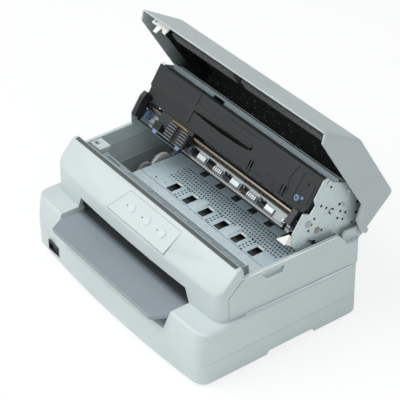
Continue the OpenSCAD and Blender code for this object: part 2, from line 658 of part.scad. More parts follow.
// Feed rollers under the table
module feed_shaft(y) {
    rod(gear_x - 1, frame_half + 2, y, roller_z, 4);
    for (x = roller_xs) rod(x + roller_w / 2, x + roller_w / 2 + 1.6, y, roller_z, roller_r - 0.9);
    gear(gear_x, y, roller_z, feed_teeth, 0);
}
module feed_tyres(y) for (x = roller_xs) difference() {
    rod(x - roller_w / 2, x + roller_w / 2, y, roller_z, roller_r);
    rod(x - roller_w, x + roller_w, y, roller_z, 4);
}
module front_feed_shaft() color([0.85, 0.86, 0.86]) placed() feed_shaft(row_y);
module front_feed_tyres() color(rubber_black) placed() feed_tyres(row_y);
module rear_feed_shaft() color([0.85, 0.86, 0.86]) placed() feed_shaft(rear_row_y);
module rear_feed_tyres() color(rubber_black) placed() feed_tyres(rear_row_y);

module idler_gear() color([0.9, 0.9, 0.86]) placed() {
    gear(gear_x, idler_y, roller_z, idler_teeth, 0, 180 / idler_teeth);
    rod(-frame_half - 1.2, -frame_half + plate_t + 0.4, idler_y, roller_z, 3 - fit);
}
module motor_pinion() color([0.8, 0.7, 0.4]) placed() gear(gear_x, idler_y, pinion_z, pinion_teeth, 2 + fit, 90 + (pinion_teeth % 2 == 0 ? 0 : 180 / pinion_teeth));

// Cover
cover_half = cover_w / 2;
function inset_x(a) = 6 * (1 - cos(a));
module cover_side(inset) offset(delta = -inset) polygon([
    tip + (tip - crown_front) * 0.3, crown_front - [4.5, 2.6], crown_front + [1.5, 0], crown_rear - [3, 0], crown_rear + [1, -2.6],
    heel + (heel - crown_rear) * 0.3, [rim[0], rim[1] - 20]
]);
module cover_outer() hull() for (s = [-1, 1], a = [0, 30, 60, 90]) let (x = s * (cover_half - 6 + 6 * sin(a)))
    across(x - eps / 2, x + eps / 2) cover_side(inset_x(a) * 0.8);
module cover_cavity() across(-cover_half + cover_wall, cover_half - cover_wall) offset(delta = -cover_wall) polygon([
    tip + (tip - crown_front) * 0.8, crown_front, crown_rear, heel + (heel - crown_rear) * 0.6
]);
module cover_shell() color(case_grey) placed() opened() difference() {
    union() {
        difference() {
            cover_outer();
            cover_cavity();
            across(-200, 200) polygon([
                [-90, rim[1] - 60], [-90, tip[1] - 0.2], tip - [0, 0.2], rim, step_top, step_low, heel - [4, 1], heel - [0, 1], [170, heel[1] - 1], [170, rim[1] - 60]
            ]);
        }
        both_sides() rod(cover_half - cover_wall - 0.2, cover_half - 0.9, hinge_y, hinge_z, hinge_pin_r + 1.6);
    }
    both_sides() {
        rod(cover_half - cover_wall - 2, cover_half - 1.4, hinge_y, hinge_z, hinge_pin_r);
        across(hump_x[0] - 1.4, cover_half - cover_wall) union() {
            translate([hinge_y, hinge_z]) circle(r = 9.4);
            polygon([[hinge_y - 12, hinge_z - 14], [hinge_y + 8, hinge_z - 14], [hinge_y + 6, hinge_z + 6], [hinge_y - 12, hinge_z + 6]]);
        }
    }
}
module hinge_pins() color([0.6, 0.62, 0.64]) placed() opened() both_sides()
    rod(hump_x[0] + 0.5, cover_half - 1.4, hinge_y, hinge_z, hinge_pin_r);

foam_t = 5;
pad_t = 3.2;
module along_slope(from, to, low, high) {
    d = (crown_front - tip) / norm(crown_front - tip);
    n = [d[1], -d[0]];
    polygon([for (q = [[from, low], [to, low], [to, high], [from, high]]) tip + (crown_front - tip) * q[0] + n * q[1]]);
}
module cover_foam() color(rubber_black) placed() opened() {
    block([-cover_half + 12, 26, cover_top - cover_wall - foam_t], [cover_half - 12, 124, cover_top - cover_wall]);
    across(-cover_half + 12, cover_half - 12) along_slope(0.56, 0.95, cover_wall + 0.05, cover_wall + 4);
    both_sides() across(cover_half - cover_wall - pad_t - 0.1, cover_half - cover_wall - 0.1) polygon([
        [-8, 153], [120, 156], [123, 176], [13, 176], [-8, 165]
    ]);
}

module cover_liner() color([0.25, 0.26, 0.27]) placed() opened()
    for (k = [[0.2, 0.34], [0.4, 0.52]]) across(-strike_x[0] + 3, cover_half - 8)
        along_slope(k[0], k[1], cover_wall + 0.05, cover_wall + 3);

// Height of the inside of the cover's front slope
slope = (crown_front[1] - tip[1]) / (crown_front[0] - tip[0]);
function under_slope(y) = tip[1] + (y - tip[0]) * slope - cover_wall * sqrt(1 + slope * slope) - 0.05;
strike_y = -25.6;
module cover_hooks() color([0.85, 0.86, 0.86]) placed() opened() mirror([1, 0, 0])
    translate([0, strike_y + 1.6, 0]) rotate([90, 0, 0]) linear_extrude(1.6) difference() {
        polygon([
            [strike_x[0], under_slope(strike_y)], [strike_x[0], housing_top + 6.5], [strike_x[0] + 7, housing_top + 7.5],
            [strike_x[0] + 9, housing_top + 11], [strike_x[0] + 13, housing_top + 11], [strike_x[0] + 14, housing_top + 2],
            [strike_x[0] + 21, housing_top + 2], [strike_x[0] + 22, housing_top + 11], [strike_x[1], housing_top + 11],
            [strike_x[1], under_slope(strike_y)]
        ]);
        translate([strike_x[1] - 6, housing_top + 15.5]) circle(r = 1.8);
    }

// Print mechanism
plate_in = plate_half - plate_t;
module plate_outline() polygon([
    [14.9, 160.9], [19, 165.7], [22.5, 165.4], [22.5, 158.5], [25.6, 158.5], [26.4, 164.6], [29.2, 163.8], [53.2, 170.5],
    [70.2, 166.3], [91, 159.4], [108.6, 151.4], [113.7, 129.2], [116, 112], [122, 100], [pivot_y + 1.6, pivot_z + 5.3],
    [pivot_y, pivot_z], [pivot_y, pivot_z - 5.6], [104, 83], [70, 72], [41, 69.5], [32, 69.2], [26.9, 71], [16.4, 84.2], [13.9, 112.9],
    [26, 115.7], [26.2, 127.2], [18.5, 133.5]
]);
plate_holes = [
    [35.3, 131.3], [45.7, 131.5], [63.7, 142.6], [82.5, 136.4], [72.8, 135], [84.7, 126.8], [75, 125.5],
    [36.8, 113], [38, 104.7], [39.1, 96.3], [32.6, 157.7], [60, 104], [88, 104], [100, 96]
];
rail_y = 32;
rail_h = 104;
pinch_z = platen_z + pinch_r - 0.25;
module side_plate() difference() {
    union() {
        across(plate_in, plate_half) plate_outline();
        rod(plate_in, plate_half, pivot_y, pivot_z, 5.6);
        // rear flange, turned outwards
        across(plate_in + eps, plate_half + 4) polygon([[109.2, 149.6], [110.6, 150], [115.2, 131.6], [113.4, 130.6]]);
    }
    across(plate_in - 1, plate_half + 1) {
        for (p = plate_holes) translate(p) circle(r = 1.9, $fn = 20);
        difference() {
            translate([57.3, 130.5]) circle(r = 4.6);
            translate([57.3, 130.5]) circle(r = 2.4);
            translate([57.3, 130.5]) rotate(-50) square([8, 8]);
        }
    }
    rod(-200, 200, rail_y, rail_h, rail_r + 0.01);
    rod(-200, 200, row_y, pinch_z, 3 + fit);
    rod(-200, 200, pivot_y, pivot_z, pivot_r + fit);
}
module mech_right_plate() color(steel) placed() raised() side_plate();
// The ribbon cartridge hangs over the left plate, whose front edge is set back for it
module mech_left_plate() color(steel) placed() raised() difference() {
    mirror([1, 0, 0]) side_plate();
    leaning() block([-plate_half - 1, -20, 3], [-plate_in + 1, 3.4, 70]);
}

bar_y = 40;
bar_top = 170;
module mech_top_bar() color([0.82, 0.86, 0.88]) placed() raised() difference() {
    across(-plate_in, plate_in) polygon([
        [bar_y, bar_top - 7], [bar_y, bar_top], [bar_y + 12, bar_top + 0.4], [bar_y + 12, bar_top - 1], [bar_y + 1.4, bar_top - 1.4], [bar_y + 1.4, bar_top - 7]
    ]);
    block([-79, bar_y - 1, bar_top - 8], [-56, bar_y + 5, bar_top - 3]);
    for (x = [-140, -20, 60, 140]) translate([x, bar_y + 7, bar_top - 3]) cylinder(h = 6, r = 1.8);
}

module carriage_shaft() color([0.75, 0.68, 0.6]) placed() raised() rod(-plate_half - 1, plate_half + 1, rail_y, rail_h, rail_r);

back_rail_y = 62;
module carriage_rail() color(steel) placed() raised() across(-plate_in, plate_in) polygon([
    [back_rail_y, 106], [back_rail_y, 117], [back_rail_y + 11, 117], [back_rail_y + 11, 115.5], [back_rail_y + 1.5, 115.5], [back_rail_y + 1.5, 106]
]);

// Pressure strip in front of the pinch rollers
strip_y = 36.4;
module pressure_strip() color([0.62, 0.66, 0.68]) placed() raised() difference() {
    across(-table_half, table_half) polygon([
        [strip_y, platen_z + 0.5], [strip_y, platen_z + 4.2], [strip_y + 1.4, platen_z + 4.2], [strip_y + 2.4, platen_z + 17],
        [strip_y + 24, platen_z + 17], [strip_y + 24, platen_z + 18.4], [strip_y + 1.2, platen_z + 18.4], [strip_y + 0.2, platen_z + 4.8], [strip_y - 0.8, platen_z + 4],
        [strip_y - 1, platen_z + 0.5]
    ]);
    for (x = roller_xs) block([x - 8, strip_y - 3, platen_z + 5], [x + 8, strip_y + 16, platen_z + 16.4]);
}
tab_xs = [for (i = [-1:rollers + 1]) (i - rollers / 2) * roller_pitch];
module guide_tabs() color([0.85, 0.87, 0.89]) placed() raised() for (i = [0:rollers + 2]) let (x = tab_xs[i]) if (abs(x) < table_half - 8) {
    if (i % 2 == 1) {
        across(x - 8, x + 8) polygon([
            [strip_y - 0.9, platen_z + 4.4], [strip_y - 2.4, platen_z + 8], [strip_y - 1.6, platen_z + 14], [strip_y + 0.85, platen_z + 14.6], [strip_y + 0.1, platen_z + 5.2]
        ]);
    } else {
        for (k = [-2:2]) across(x + k * 3.6 - 1, x + k * 3.6 + 1) polygon([
            [strip_y - 0.9, platen_z + 4.4], [strip_y - 3.2, platen_z + 8], [strip_y - 2.2, platen_z + 13], [strip_y + 0.85, platen_z + 14.6], [strip_y + 0.1, platen_z + 5.2]
        ]);
        across(x - 8.2, x + 8.2) polygon([
            [strip_y - 0.9, platen_z + 4.4], [strip_y - 1.4, platen_z + 8], [strip_y - 0.4, platen_z + 14], [strip_y + 0.85, platen_z + 14.6], [strip_y + 0.1, platen_z + 5.2]
        ]);
    }
}

module corner_bracket() color([0.93, 0.93, 0.92]) placed() raised() {
    translate([0, 17, 0]) rotate([90, 0, 0]) linear_extrude(1.8) polygon([
        [159, 69.4], [159.8, 68.2], [plate_in, 68.2], [plate_in, 82], [171.8, 82], [167.6, 77.6]
    ]);
    across(plate_in - 1.6, plate_in) polygon([[17, 69.6], [17, 81], [24, 81], [30, 76], [30, 70.6], [26, 69.6]]);
}

// Ribbon cartridge, leaning a little forward at its top
ribbon_z = platen_z + 1.7;
arm_z = ribbon_z + 2.7;
cart_lean = 6.5;
cart_y = 24.5;
cart_bottom = 112;
cart_h = 50;
cart_t = 13;
cart_x = [-plate_half, plate_in - 4];
module leaning() translate([0, cart_y, cart_bottom]) rotate([cart_lean, 0, 0]) children();
module cart_front2d(grow = 0) polygon([
    [cart_x[0] - grow, cart_h + grow], [cart_x[0] - grow, 19], [cart_x[0] + 18, 2 - grow], [cart_x[0] + 26, -grow],
    [cart_x[1] - 6, -grow], [cart_x[1] + grow, 8], [cart_x[1] + grow, cart_h + grow]
]);
module ribbon_case() color(dark_plastic) placed() raised() difference() {
    union() {
        leaning() translate([0, 0, 0]) rotate([90, 0, 0]) translate([0, 0, -cart_t]) linear_extrude(cart_t - 3) intersection() {
            cart_front2d();
            translate([-plate_in + 1, -5]) square([2 * plate_in - 2, 80]);
        }
        // arms that lead the ribbon down to the print line
        across(-plate_in + 1, -plate_in + 9) polygon([
            [15, 119], [26.9, 119], [26, 128], [29, 128], [30, 112], [30, arm_z], [16, arm_z], [13, 110]
        ]);
        across(plate_in - 24, plate_in - 14) polygon([[22, 111.5], [27.9, 111.5], [27.2, 118], [32, 118], [32, arm_z + 7], [20, arm_z + 7]]);
    }
    across(-200, 200) translate([rail_y, rail_h]) circle(r = rail_r + 1.5);
}
module ribbon_cover() color([0.2, 0.22, 0.22]) placed() raised() leaning() difference() {
    union() {
        rotate([90, 0, 0]) translate([0, 0, -3]) linear_extrude(3) cart_front2d();
        rotate([90, 0, 0]) linear_extrude(0.6) {
            translate([-20, 30]) square([120, 10], center = true);
            translate([154, 24]) rounded(4) square([22, 28], center = true);
        }
    }
    rotate([90, 0, 0]) translate([0, 0, -1]) linear_extrude(4) {
        translate([-14, 26]) square([118, 1.6], center = true);
        for (x = [50, 54.5, 122, 126.5]) translate([x, 12]) square([1.4, 9], center = true);
        translate([88, 12]) square([6, 6], center = true);
        for (x = [-120, 20]) translate([x, 44]) square([60, 1], center = true);
    }
    rotate([90, 0, 0]) translate([148, 12, -8]) cylinder(h = 12, r = 4.5);
    rotate([90, 0, 0]) translate([154, 34, -8]) cylinder(h = 12, r = 1.6);
}
knob_r = 4.2;
module ribbon_knob() color([0.55, 0.62, 0.72]) placed() raised() leaning() translate([148, 0, 12]) rotate([90, 0, 0]) difference() {
    union() {
        translate([0, 0, -2.6]) cylinder(h = 5.6, r = knob_r);
        translate([0, 0, 3 - eps]) cylinder(h = 1.2, r = knob_r - 1);
        for (a = [0:60:300]) rotate(a) translate([knob_r - 1.4, -0.4, 2.4]) cube([1.3, 0.8, 1.2]);
    }
    translate([0, 0, 1]) cylinder(h = 6, r = 1.6);
}

module ink_ribbon() color([0.05, 0.05, 0.06]) placed() raised() {
    block([-plate_in + 9, 22, ribbon_z], [plate_in - 24, 34, ribbon_z + 0.3]);
    block([-plate_in + 8.7, 23, ribbon_z], [-plate_in + 9, 29, arm_z]);
    block([plate_in - 24.3, 23, ribbon_z], [plate_in - 24, 29, arm_z + 7]);
}

// Carriage drive behind the cartridge
belt_y = 84;
belt_z = 122;
pulley_r = 8;
pulley_x = 150;
module carriage_motor() color([0.3, 0.31, 0.33]) placed() raised() {
    translate([pulley_x, belt_y, belt_z + 8]) cylinder(h = 26, r = 19);
    translate([pulley_x, belt_y, belt_z - 4.5]) cylinder(h = 12.6, r = 2);
    translate([0, 0, belt_z + 7]) linear_extrude(1.2) rounded(2) polygon([
        [pulley_x - 22, belt_y - 20], [plate_in, belt_y - 20], [plate_in, belt_y + 20], [pulley_x - 22, belt_y + 20]
    ]);
    translate([-pulley_x, belt_y, belt_z - 5]) cylinder(h = 13, r = 2);
    translate([0, 0, belt_z + 7]) linear_extrude(1.2) rounded(2) polygon([
        [-pulley_x + 14, belt_y - 12], [-plate_in, belt_y - 12], [-plate_in, belt_y + 12], [-pulley_x + 14, belt_y + 12]
    ]);
}
module timing_belt() color(rubber_black) placed() raised() translate([0, belt_y, belt_z - 3]) linear_extrude(6) difference() {
    hull() for (s = [-1, 1]) translate([s * pulley_x, 0]) circle(r = pulley_r + 1.5);
    hull() for (s = [-1, 1]) translate([s * pulley_x, 0]) circle(r = pulley_r + 0.3);
}
module pulley(x) translate([x, belt_y, belt_z]) difference() {
    union() {
        translate([0, 0, -3.6]) cylinder(h = 7.2, r = pulley_r);
        for (z = [-4.2, 3.4]) translate([0, 0, z]) cylinder(h = 0.8, r = pulley_r + 2.4);
    }
    translate([0, 0, -6]) cylinder(h = 12, r = 2 + fit);
}
module drive_pulley() color([0.85, 0.8, 0.6]) placed() raised() pulley(pulley_x);
module idler_pulley() color([0.9, 0.9, 0.88]) placed() raised() pulley(-pulley_x);

// Carriage and print head
module carriage() color(dark_plastic) placed() raised() translate([carriage_x, 0, 0]) difference() {
    union() {
        block([-35, 25, 98], [35, 42, 111.4]);
        block([-35, 24.6, 95], [35, 33, 98.1]);
        block([-22, 40, 99], [22, 58, 105.4]);
        block([-22, 55, 99], [22, back_rail_y - 0.3, 112]);
        // clamp that reaches over the rear rail to the belt
        block([-8, 57, 111], [8, back_rail_y - 0.3, belt_z + 4]);
        block([-8, 57, 119], [8, belt_y - pulley_r - 2, belt_z + 4]);
        block([-35, 20.4, 84], [-20, 32.6, 95.1]);
        block([-20.1, 24.6, 92], [-12, 32.6, 95.1]);
    }
    rod(-60, 60, rail_y, rail_h, rail_r + fit);
    for (i = [0:3]) block([-32 + 3 * i, 19, 86], [-31 + 3 * i, 22, 93]);
}
fin_pitch = 26 / (fins + 0.4);
module print_head() color([0.12, 0.12, 0.13]) placed() raised() translate([carriage_x, 0, 0]) {
    block([-11.6, 24.2, 91], [34, 32.6, 94.9]);
    block([-5, 25.5, 83.6], [9, 31.5, 91.2]);
    for (i = [0:fins - 1], x = [[-8, 9], [19, 34]]) block([x[0], 18.5, 83.6 + fin_pitch * i], [x[1], 24.3, 85 + fin_pitch * i]);
    block([-11.6, 22.4, 83.6], [34, 24.3, 83.6 + fin_pitch * (fins - 1) + 1.4]);
}
module ribbon_mask() color([0.5, 0.55, 0.62]) placed() raised() translate([carriage_x, 0, 0]) difference() {
    union() {
        block([-30, 20, platen_z + 0.8], [30, 35, platen_z + 1.3]);
        block([-30, 20, platen_z + 0.8], [-22, 20.4, 84.4]);
        block([22, 20, platen_z + 0.8], [30, 20.4, 83.4]);
    }
    block([-6, 25, platen_z], [6, 32, platen_z + 2]);
}

// Pinch rollers
module pinch_shaft() color([0.8, 0.82, 0.84]) placed() raised() {
    rod(-plate_half - 0.6, plate_half + 0.6, row_y, pinch_z, 3);
}
module pinch_rollers() color(rubber_black) placed() raised() for (x = roller_xs) difference() {
    rod(x - pinch_w / 2, x + pinch_w / 2, row_y, pinch_z, pinch_r);
    rod(x - pinch_w / 2 - 1, x + pinch_w / 2 + 1, row_y, pinch_z, 3);
}

lower_case();
rubber_feet();
base_plate();
front_guide();
inner_guide();
side_housing();
front_housing();
edge_strip();
control_plate();
status_lenses();
latch_seats();
front_rail();
platen();
paper_table();
left_frame();
right_frame();
pivot_shaft();
feed_motor();
main_board();
power_supply();
rear_sockets();
power_inlet();
switch_bezel();
frame_screws();
front_feed_shaft();
front_feed_tyres();
rear_feed_shaft();
rear_feed_tyres();
idler_gear();
motor_pinion();
power_switch();
left_button();
middle_button();
right_button();
cover_shell();
cover_foam();
cover_liner();
cover_hooks();
hinge_pins();
mech_left_plate();
mech_right_plate();
mech_top_bar();
carriage_shaft();
carriage_rail();
pressure_strip();
guide_tabs();
corner_bracket();
ribbon_case();
ribbon_cover();
ink_ribbon();
carriage_motor();
timing_belt();
drive_pulley();
idler_pulley();
carriage();
print_head();
ribbon_mask();
ribbon_knob();
pinch_shaft();
pinch_rollers();
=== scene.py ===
# %% [markdown]
# # Flatbed dot matrix printer, open
#
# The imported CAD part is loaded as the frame: every solid is already in place, in metres, with X across,
# Y to the rear and Z up. This notebook gives each one a procedural material, rounds the edges of the
# mouldings, adds the small pressed and turned details that a CAD model leaves out, and lights it all.

import json
import math

import bpy
import numpy as np
from mathutils import Matrix, Vector

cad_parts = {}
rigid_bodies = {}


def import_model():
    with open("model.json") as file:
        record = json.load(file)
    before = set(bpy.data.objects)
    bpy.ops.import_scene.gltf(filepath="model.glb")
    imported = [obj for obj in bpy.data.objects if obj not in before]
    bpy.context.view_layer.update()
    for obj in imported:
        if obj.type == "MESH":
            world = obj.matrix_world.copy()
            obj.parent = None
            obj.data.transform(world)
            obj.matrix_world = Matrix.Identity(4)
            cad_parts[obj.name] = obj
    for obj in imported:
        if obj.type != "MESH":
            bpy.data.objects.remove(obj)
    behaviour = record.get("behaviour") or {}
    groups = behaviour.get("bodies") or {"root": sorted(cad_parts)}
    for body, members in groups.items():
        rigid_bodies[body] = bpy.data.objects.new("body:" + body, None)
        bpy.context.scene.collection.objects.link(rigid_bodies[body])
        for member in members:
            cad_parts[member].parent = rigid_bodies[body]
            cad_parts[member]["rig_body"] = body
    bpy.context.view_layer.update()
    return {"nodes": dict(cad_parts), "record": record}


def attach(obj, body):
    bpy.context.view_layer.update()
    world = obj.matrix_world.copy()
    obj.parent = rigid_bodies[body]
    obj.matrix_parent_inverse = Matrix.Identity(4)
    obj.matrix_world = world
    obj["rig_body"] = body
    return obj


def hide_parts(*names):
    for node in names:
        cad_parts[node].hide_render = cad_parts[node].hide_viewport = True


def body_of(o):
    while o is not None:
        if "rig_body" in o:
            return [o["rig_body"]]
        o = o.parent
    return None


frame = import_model()
nodes = frame["nodes"]

# %% [markdown]
# ## From drawing millimetres to the frame
# The part was drawn with its cover shut and its mechanism down, around the middle of the case's
# underside. The photograph shows it open. So a detail is placed on the shut drawing in millimetres,
# turned up about its own hinge line, and only then shifted and scaled into the frame.

# %% Places
DRAWING_SHIFT = np.array([0.0, 27.931, 0.0])
TILT_LINE = (131.0, 91.0)
HINGE_LINE = (147.0, 125.5)
TILT_ANGLE = 40.0
COVER_ANGLE = 60.0


def swung(points, angle, line):
    """Turns points back about an X line: y' = y cos a + z sin a and z' = z cos a - y sin a, from the line."""
    p = np.array(points, dtype=float)
    c, s = math.cos(math.radians(angle)), math.sin(math.radians(angle))
    y, z = p[..., 1] - line[0], p[..., 2] - line[1]
    p[..., 1], p[..., 2] = y * c + z * s + line[0], z * c - y * s + line[1]
    return p


def on_base(points):
    """The case stays where the shut drawing has it."""
    return np.asarray(points, dtype=float)


def on_mechanism(points):
    """The mechanism is turned up about its tilting shaft."""
    return swung(points, TILT_ANGLE, TILT_LINE)


def on_cover(points):
    """The cover is turned open about its hinge."""
    return swung(points, COVER_ANGLE, HINGE_LINE)


# The ribbon cartridge's own face: x across, y up the face, z out of it towards the front.
CART_FOOT = (24.5, 112.0)
CART_LEAN = math.radians(6.5)


def on_cartridge(points):
    """A point (x, up, out) of the leaning face, where a is the lean:
    y = foot - up sin a - out cos a and z = foot + up cos a - out sin a."""
    p = np.asarray(points, dtype=float)
    up, out = p[..., 1], p[..., 2]
    s, c = math.sin(CART_LEAN), math.cos(CART_LEAN)
    y = CART_FOOT[0] - up * s - out * c
    z = CART_FOOT[1] + up * c - out * s
    return on_mechanism(np.stack([p[..., 0], y, z], axis=-1))


def metres(points):
    """Drawing millimetres to the frame's metres: (p - shift) / 1000."""
    return (np.asarray(points, dtype=float) - DRAWING_SHIFT) / 1000.0


print("tilt line", TILT_LINE, "hinge line", HINGE_LINE)

# %% [markdown]
# ## Shader arithmetic
# Node trees are easier to read as sums and products. `Sock` wraps one output socket and gives it the
# ordinary operators, each of which adds a Math node. Every other node comes from `node`.

# %% Shader helper
class Sock:
    """One output socket of a node tree, with arithmetic."""

    def __init__(self, tree, out=None):
        self.tree, self.out = tree, out

    def node(self, kind, settings=None, out=0, **inputs):
        """Adds a node; a keyword is an input's name, with _ for a space, or i and its number."""
        n = self.tree.nodes.new(kind)
        for key, value in (settings or {}).items():
            setattr(n, key, value)
        for key, value in inputs.items():
            numbered = key[0] == "i" and key[1:].isdigit()
            socket = n.inputs[int(key[1:]) if numbered else key.replace("_", " ")]
            if isinstance(value, Sock):
                self.tree.links.new(value.out, socket)
            else:
                socket.default_value = value
        return n if out is None else Sock(self.tree, n.outputs[out])

    def maths(self, operation, a, b, clamp=False):
        """Adds a Math node: the named operation on a and b."""
        return self.node("ShaderNodeMath", {"operation": operation, "use_clamp": clamp}, i0=a, i1=b)

    def __add__(self, other):
        return self.maths("ADD", self, other)

    __radd__ = __add__

    def __sub__(self, other):
        return self.maths("SUBTRACT", self, other)

    def __rsub__(self, other):
        return self.maths("SUBTRACT", other, self)

    def __mul__(self, other):
        return self.maths("MULTIPLY", self, other)

    __rmul__ = __mul__

    def __abs__(self):
        return self.maths("ABSOLUTE", self, 0.0)

    def between(self, low, high):
        """0 at low and below, 1 at high and above, a straight line between."""
        return self.maths("MULTIPLY", self - low, 1.0 / (high - low), clamp=True)


print("arithmetic on sockets ready")

# %% [markdown]
# ## Surfaces
# A material is one principled shader. Its colours are typed as a screen shows them and turned into the
# scene's linear light. Every texture reads the piece's own coordinates, so it moves with the piece.

# %% Colours and surfaces
def linear(rgb):
    """Screen colour to scene colour: c / 12.92 below 0.04045, else ((c + 0.055) / 1.055) to the power 2.4."""
    return tuple(c / 12.92 if c <= 0.04045 else ((c + 0.055) / 1.055) ** 2.4 for c in rgb) + (1.0,)


def shade(rgb, factor):
    """The same hue, lighter or darker."""
    return tuple(min(1.0, c * factor) for c in rgb)


class Surface:
    """A material: one principled shader, and textures that read the piece's own coordinates."""

    def __init__(self, name, rgb, rough, metal=0.0, coat=0.0):
        self.mat = bpy.data.materials.new(name)
        self.mat.use_nodes = True
        self.tree = self.mat.node_tree
        self.tree.nodes.clear()
        self.make = Sock(self.tree)
        self.shader = self.make.node(
            "ShaderNodeBsdfPrincipled", out=None,
            Base_Color=linear(rgb), Roughness=rough, Metallic=metal, Coat_Weight=coat)
        end = self.make.node("ShaderNodeOutputMaterial", out=None)
        self.tree.links.new(self.shader.outputs[0], end.inputs[0])
        self.coord = self.make.node("ShaderNodeTexCoord", out="Object")
        self.normal = None

    def stretched(self, s):
        """Object coordinates times the three factors s, so a pattern runs long where s is small."""
        return self.make.node("ShaderNodeMapping", Vector=self.coord, Scale=tuple(s))

    def noise(self, scale, detail=2.0, stretch=(1, 1, 1)):
        """Cloudy values from 0 to 1, `scale` of them to the metre, with `detail` finer layers."""
        where = self.stretched(stretch)
        return self.make.node("ShaderNodeTexNoise", Vector=where, Scale=scale, Detail=detail, Roughness=0.55)

    def along(self, axis):
        """The piece's own coordinate along one axis, in metres."""
        return self.make.node("ShaderNodeSeparateXYZ", out=axis, i0=self.coord)

    def facing(self, axis):
        """How far the surface faces along one axis, from -1 to 1."""
        normal = self.make.node("ShaderNodeNewGeometry", out="Normal")
        return self.make.node("ShaderNodeSeparateXYZ", out=axis, i0=normal)

    def colour(self, amount, first, second):
        """The first colour where amount is 0 and the second where it is 1."""
        a, b = [c if isinstance(c, Sock) else linear(c) for c in (first, second)]
        return self.make.node("ShaderNodeMix", {"data_type": "RGBA"}, out=2, i0=amount, i6=a, i7=b)

    def set(self, name, value):
        """Feeds one input of the shader."""
        self.tree.links.new(value.out, self.shader.inputs[name])

    def base(self):
        """What feeds the base colour so far, so that another layer can go over it."""
        return Sock(self.tree, self.shader.inputs["Base Color"].links[0].from_socket)

    def bump(self, relief, strength, distance):
        """Tilts the surface by a relief in metres; a second call adds to the first."""
        before = {"Normal": self.normal} if self.normal else {}
        tilt = {"Height": relief, "Strength": strength, "Distance": distance}
        self.normal = self.make.node("ShaderNodeBump", **tilt, **before)
        self.set("Normal", self.normal)


print("surfaces ready")

# %% [markdown]
# ## Moulded plastic
# The case is moulded in a pale grey with a spark-eroded grain: tiny even bumps that spread the
# highlight. A slow drift of tone and gloss keeps large walls from looking painted.

# %% Plastics
def moulded(name, rgb, rough=0.5, grain=2400.0, depth=0.00005, drift=0.02, coat=0.0):
    """Colour drifts by the share `drift`, roughness by 0.1, and the grain is a bump of the given depth."""
    s = Surface(name, rgb, rough, coat=coat)
    slow = s.noise(7.0, 3.0)
    s.set("Base Color", s.colour(slow.between(0.3, 0.7), shade(rgb, 1 - drift), shade(rgb, 1 + drift)))
    s.set("Roughness", s.noise(35.0, 4.0) * 0.12 + (rough - 0.06))
    s.bump(s.noise(grain, 1.0), 0.3, depth)
    return s


CASE_GREY = (0.775, 0.812, 0.812)
plastics = {
    "case_plastic": moulded("case plastic", CASE_GREY, 0.43),
    "button_plastic": moulded("button plastic", (0.80, 0.83, 0.835), 0.4, depth=0.00002),
    "guide_plastic": moulded("guide plastic", (0.545, 0.585, 0.61), 0.46),
    "dark_plastic": moulded("dark plastic", (0.138, 0.163, 0.160), 0.46, grain=1800.0),
    "blue_grey_plastic": moulded("blue grey plastic", (0.47, 0.56, 0.68), 0.3, depth=0.00002, coat=0.3),
    "white_plastic": moulded("white plastic", (0.93, 0.93, 0.91), 0.42, depth=0.00002),
    "board": moulded("circuit board", (0.10, 0.33, 0.22), 0.35, drift=0.1),
    "lens": moulded("lens", (0.28, 0.40, 0.33), 0.14, depth=0.00001, coat=0.6),
}
print(len(plastics), "plastics")

# %% [markdown]
# ## Steel
# Zinc-coated sheet is dull and pale, with faint crystals and fine lines from the rolls. Turned and
# ground bars keep a crisp highlight, drawn out along the bar. Both stay partly unmetallic, because a
# fully metallic sheet inside a dark machine would show nothing but the dark.

# %% Metals
def zinc_sheet(name, rgb, rough=0.42, metal=0.35, crystal=130.0):
    """Tone = crystals x 0.35 + stains x 0.65, about the given colour; rolling lines as a bump."""
    s = Surface(name, rgb, rough, metal=metal)
    cell = s.make.node("ShaderNodeTexVoronoi", out="Color", Vector=s.stretched((1, 1, 1)), Scale=crystal)
    tone = s.make.node("ShaderNodeSeparateColor", i0=cell) * 0.35 + s.noise(20.0, 5.0) * 0.65
    s.set("Base Color", s.colour(tone, shade(rgb, 0.93), shade(rgb, 1.05)))
    s.set("Roughness", tone * 0.16 + (rough - 0.08))
    s.bump(s.noise(700.0, 2.0, (0.08, 1, 1)), 0.06, 0.00002)
    return s


def drawn_bar(name, rgb, rough=0.26, along=(0.02, 1, 1), metal=0.85):
    """Fine lines along one axis in the gloss and the tone."""
    s = Surface(name, rgb, rough, metal=metal)
    line = s.noise(1400.0, 2.0, along)
    s.set("Roughness", line * 0.2 + (rough - 0.1))
    s.set("Base Color", s.colour(s.noise(60.0, 3.0, along), shade(rgb, 0.9), rgb))
    s.bump(line, 0.08, 0.00003)
    return s


metals = {
    "galvanised_steel": zinc_sheet("galvanised steel", (0.78, 0.825, 0.83)),
    "bright_steel": zinc_sheet("bright steel", (0.80, 0.87, 0.92), 0.3, metal=0.3, crystal=400.0),
    "plated_steel": drawn_bar("plated steel", (0.82, 0.84, 0.86), 0.24, metal=0.6),
    "brass_tone": drawn_bar("oiled shaft", (0.50, 0.47, 0.43), 0.17, metal=0.95),
    "motor_metal": drawn_bar("motor can", (0.45, 0.46, 0.48), 0.42, along=(1, 1, 0.05)),
    "black_metal": moulded("blackened metal", (0.105, 0.11, 0.12), 0.36, grain=900.0),
}
print(len(metals), "metals")

# %% [markdown]
# ## Rubber, foam, felt and inked cloth
# The dark parts differ only by how they scatter light: rubber is smooth and dusty, foam is full of
# pits with pale flecks, felt is a soft tangle, and the ribbon is a fine weave soaked in ink.

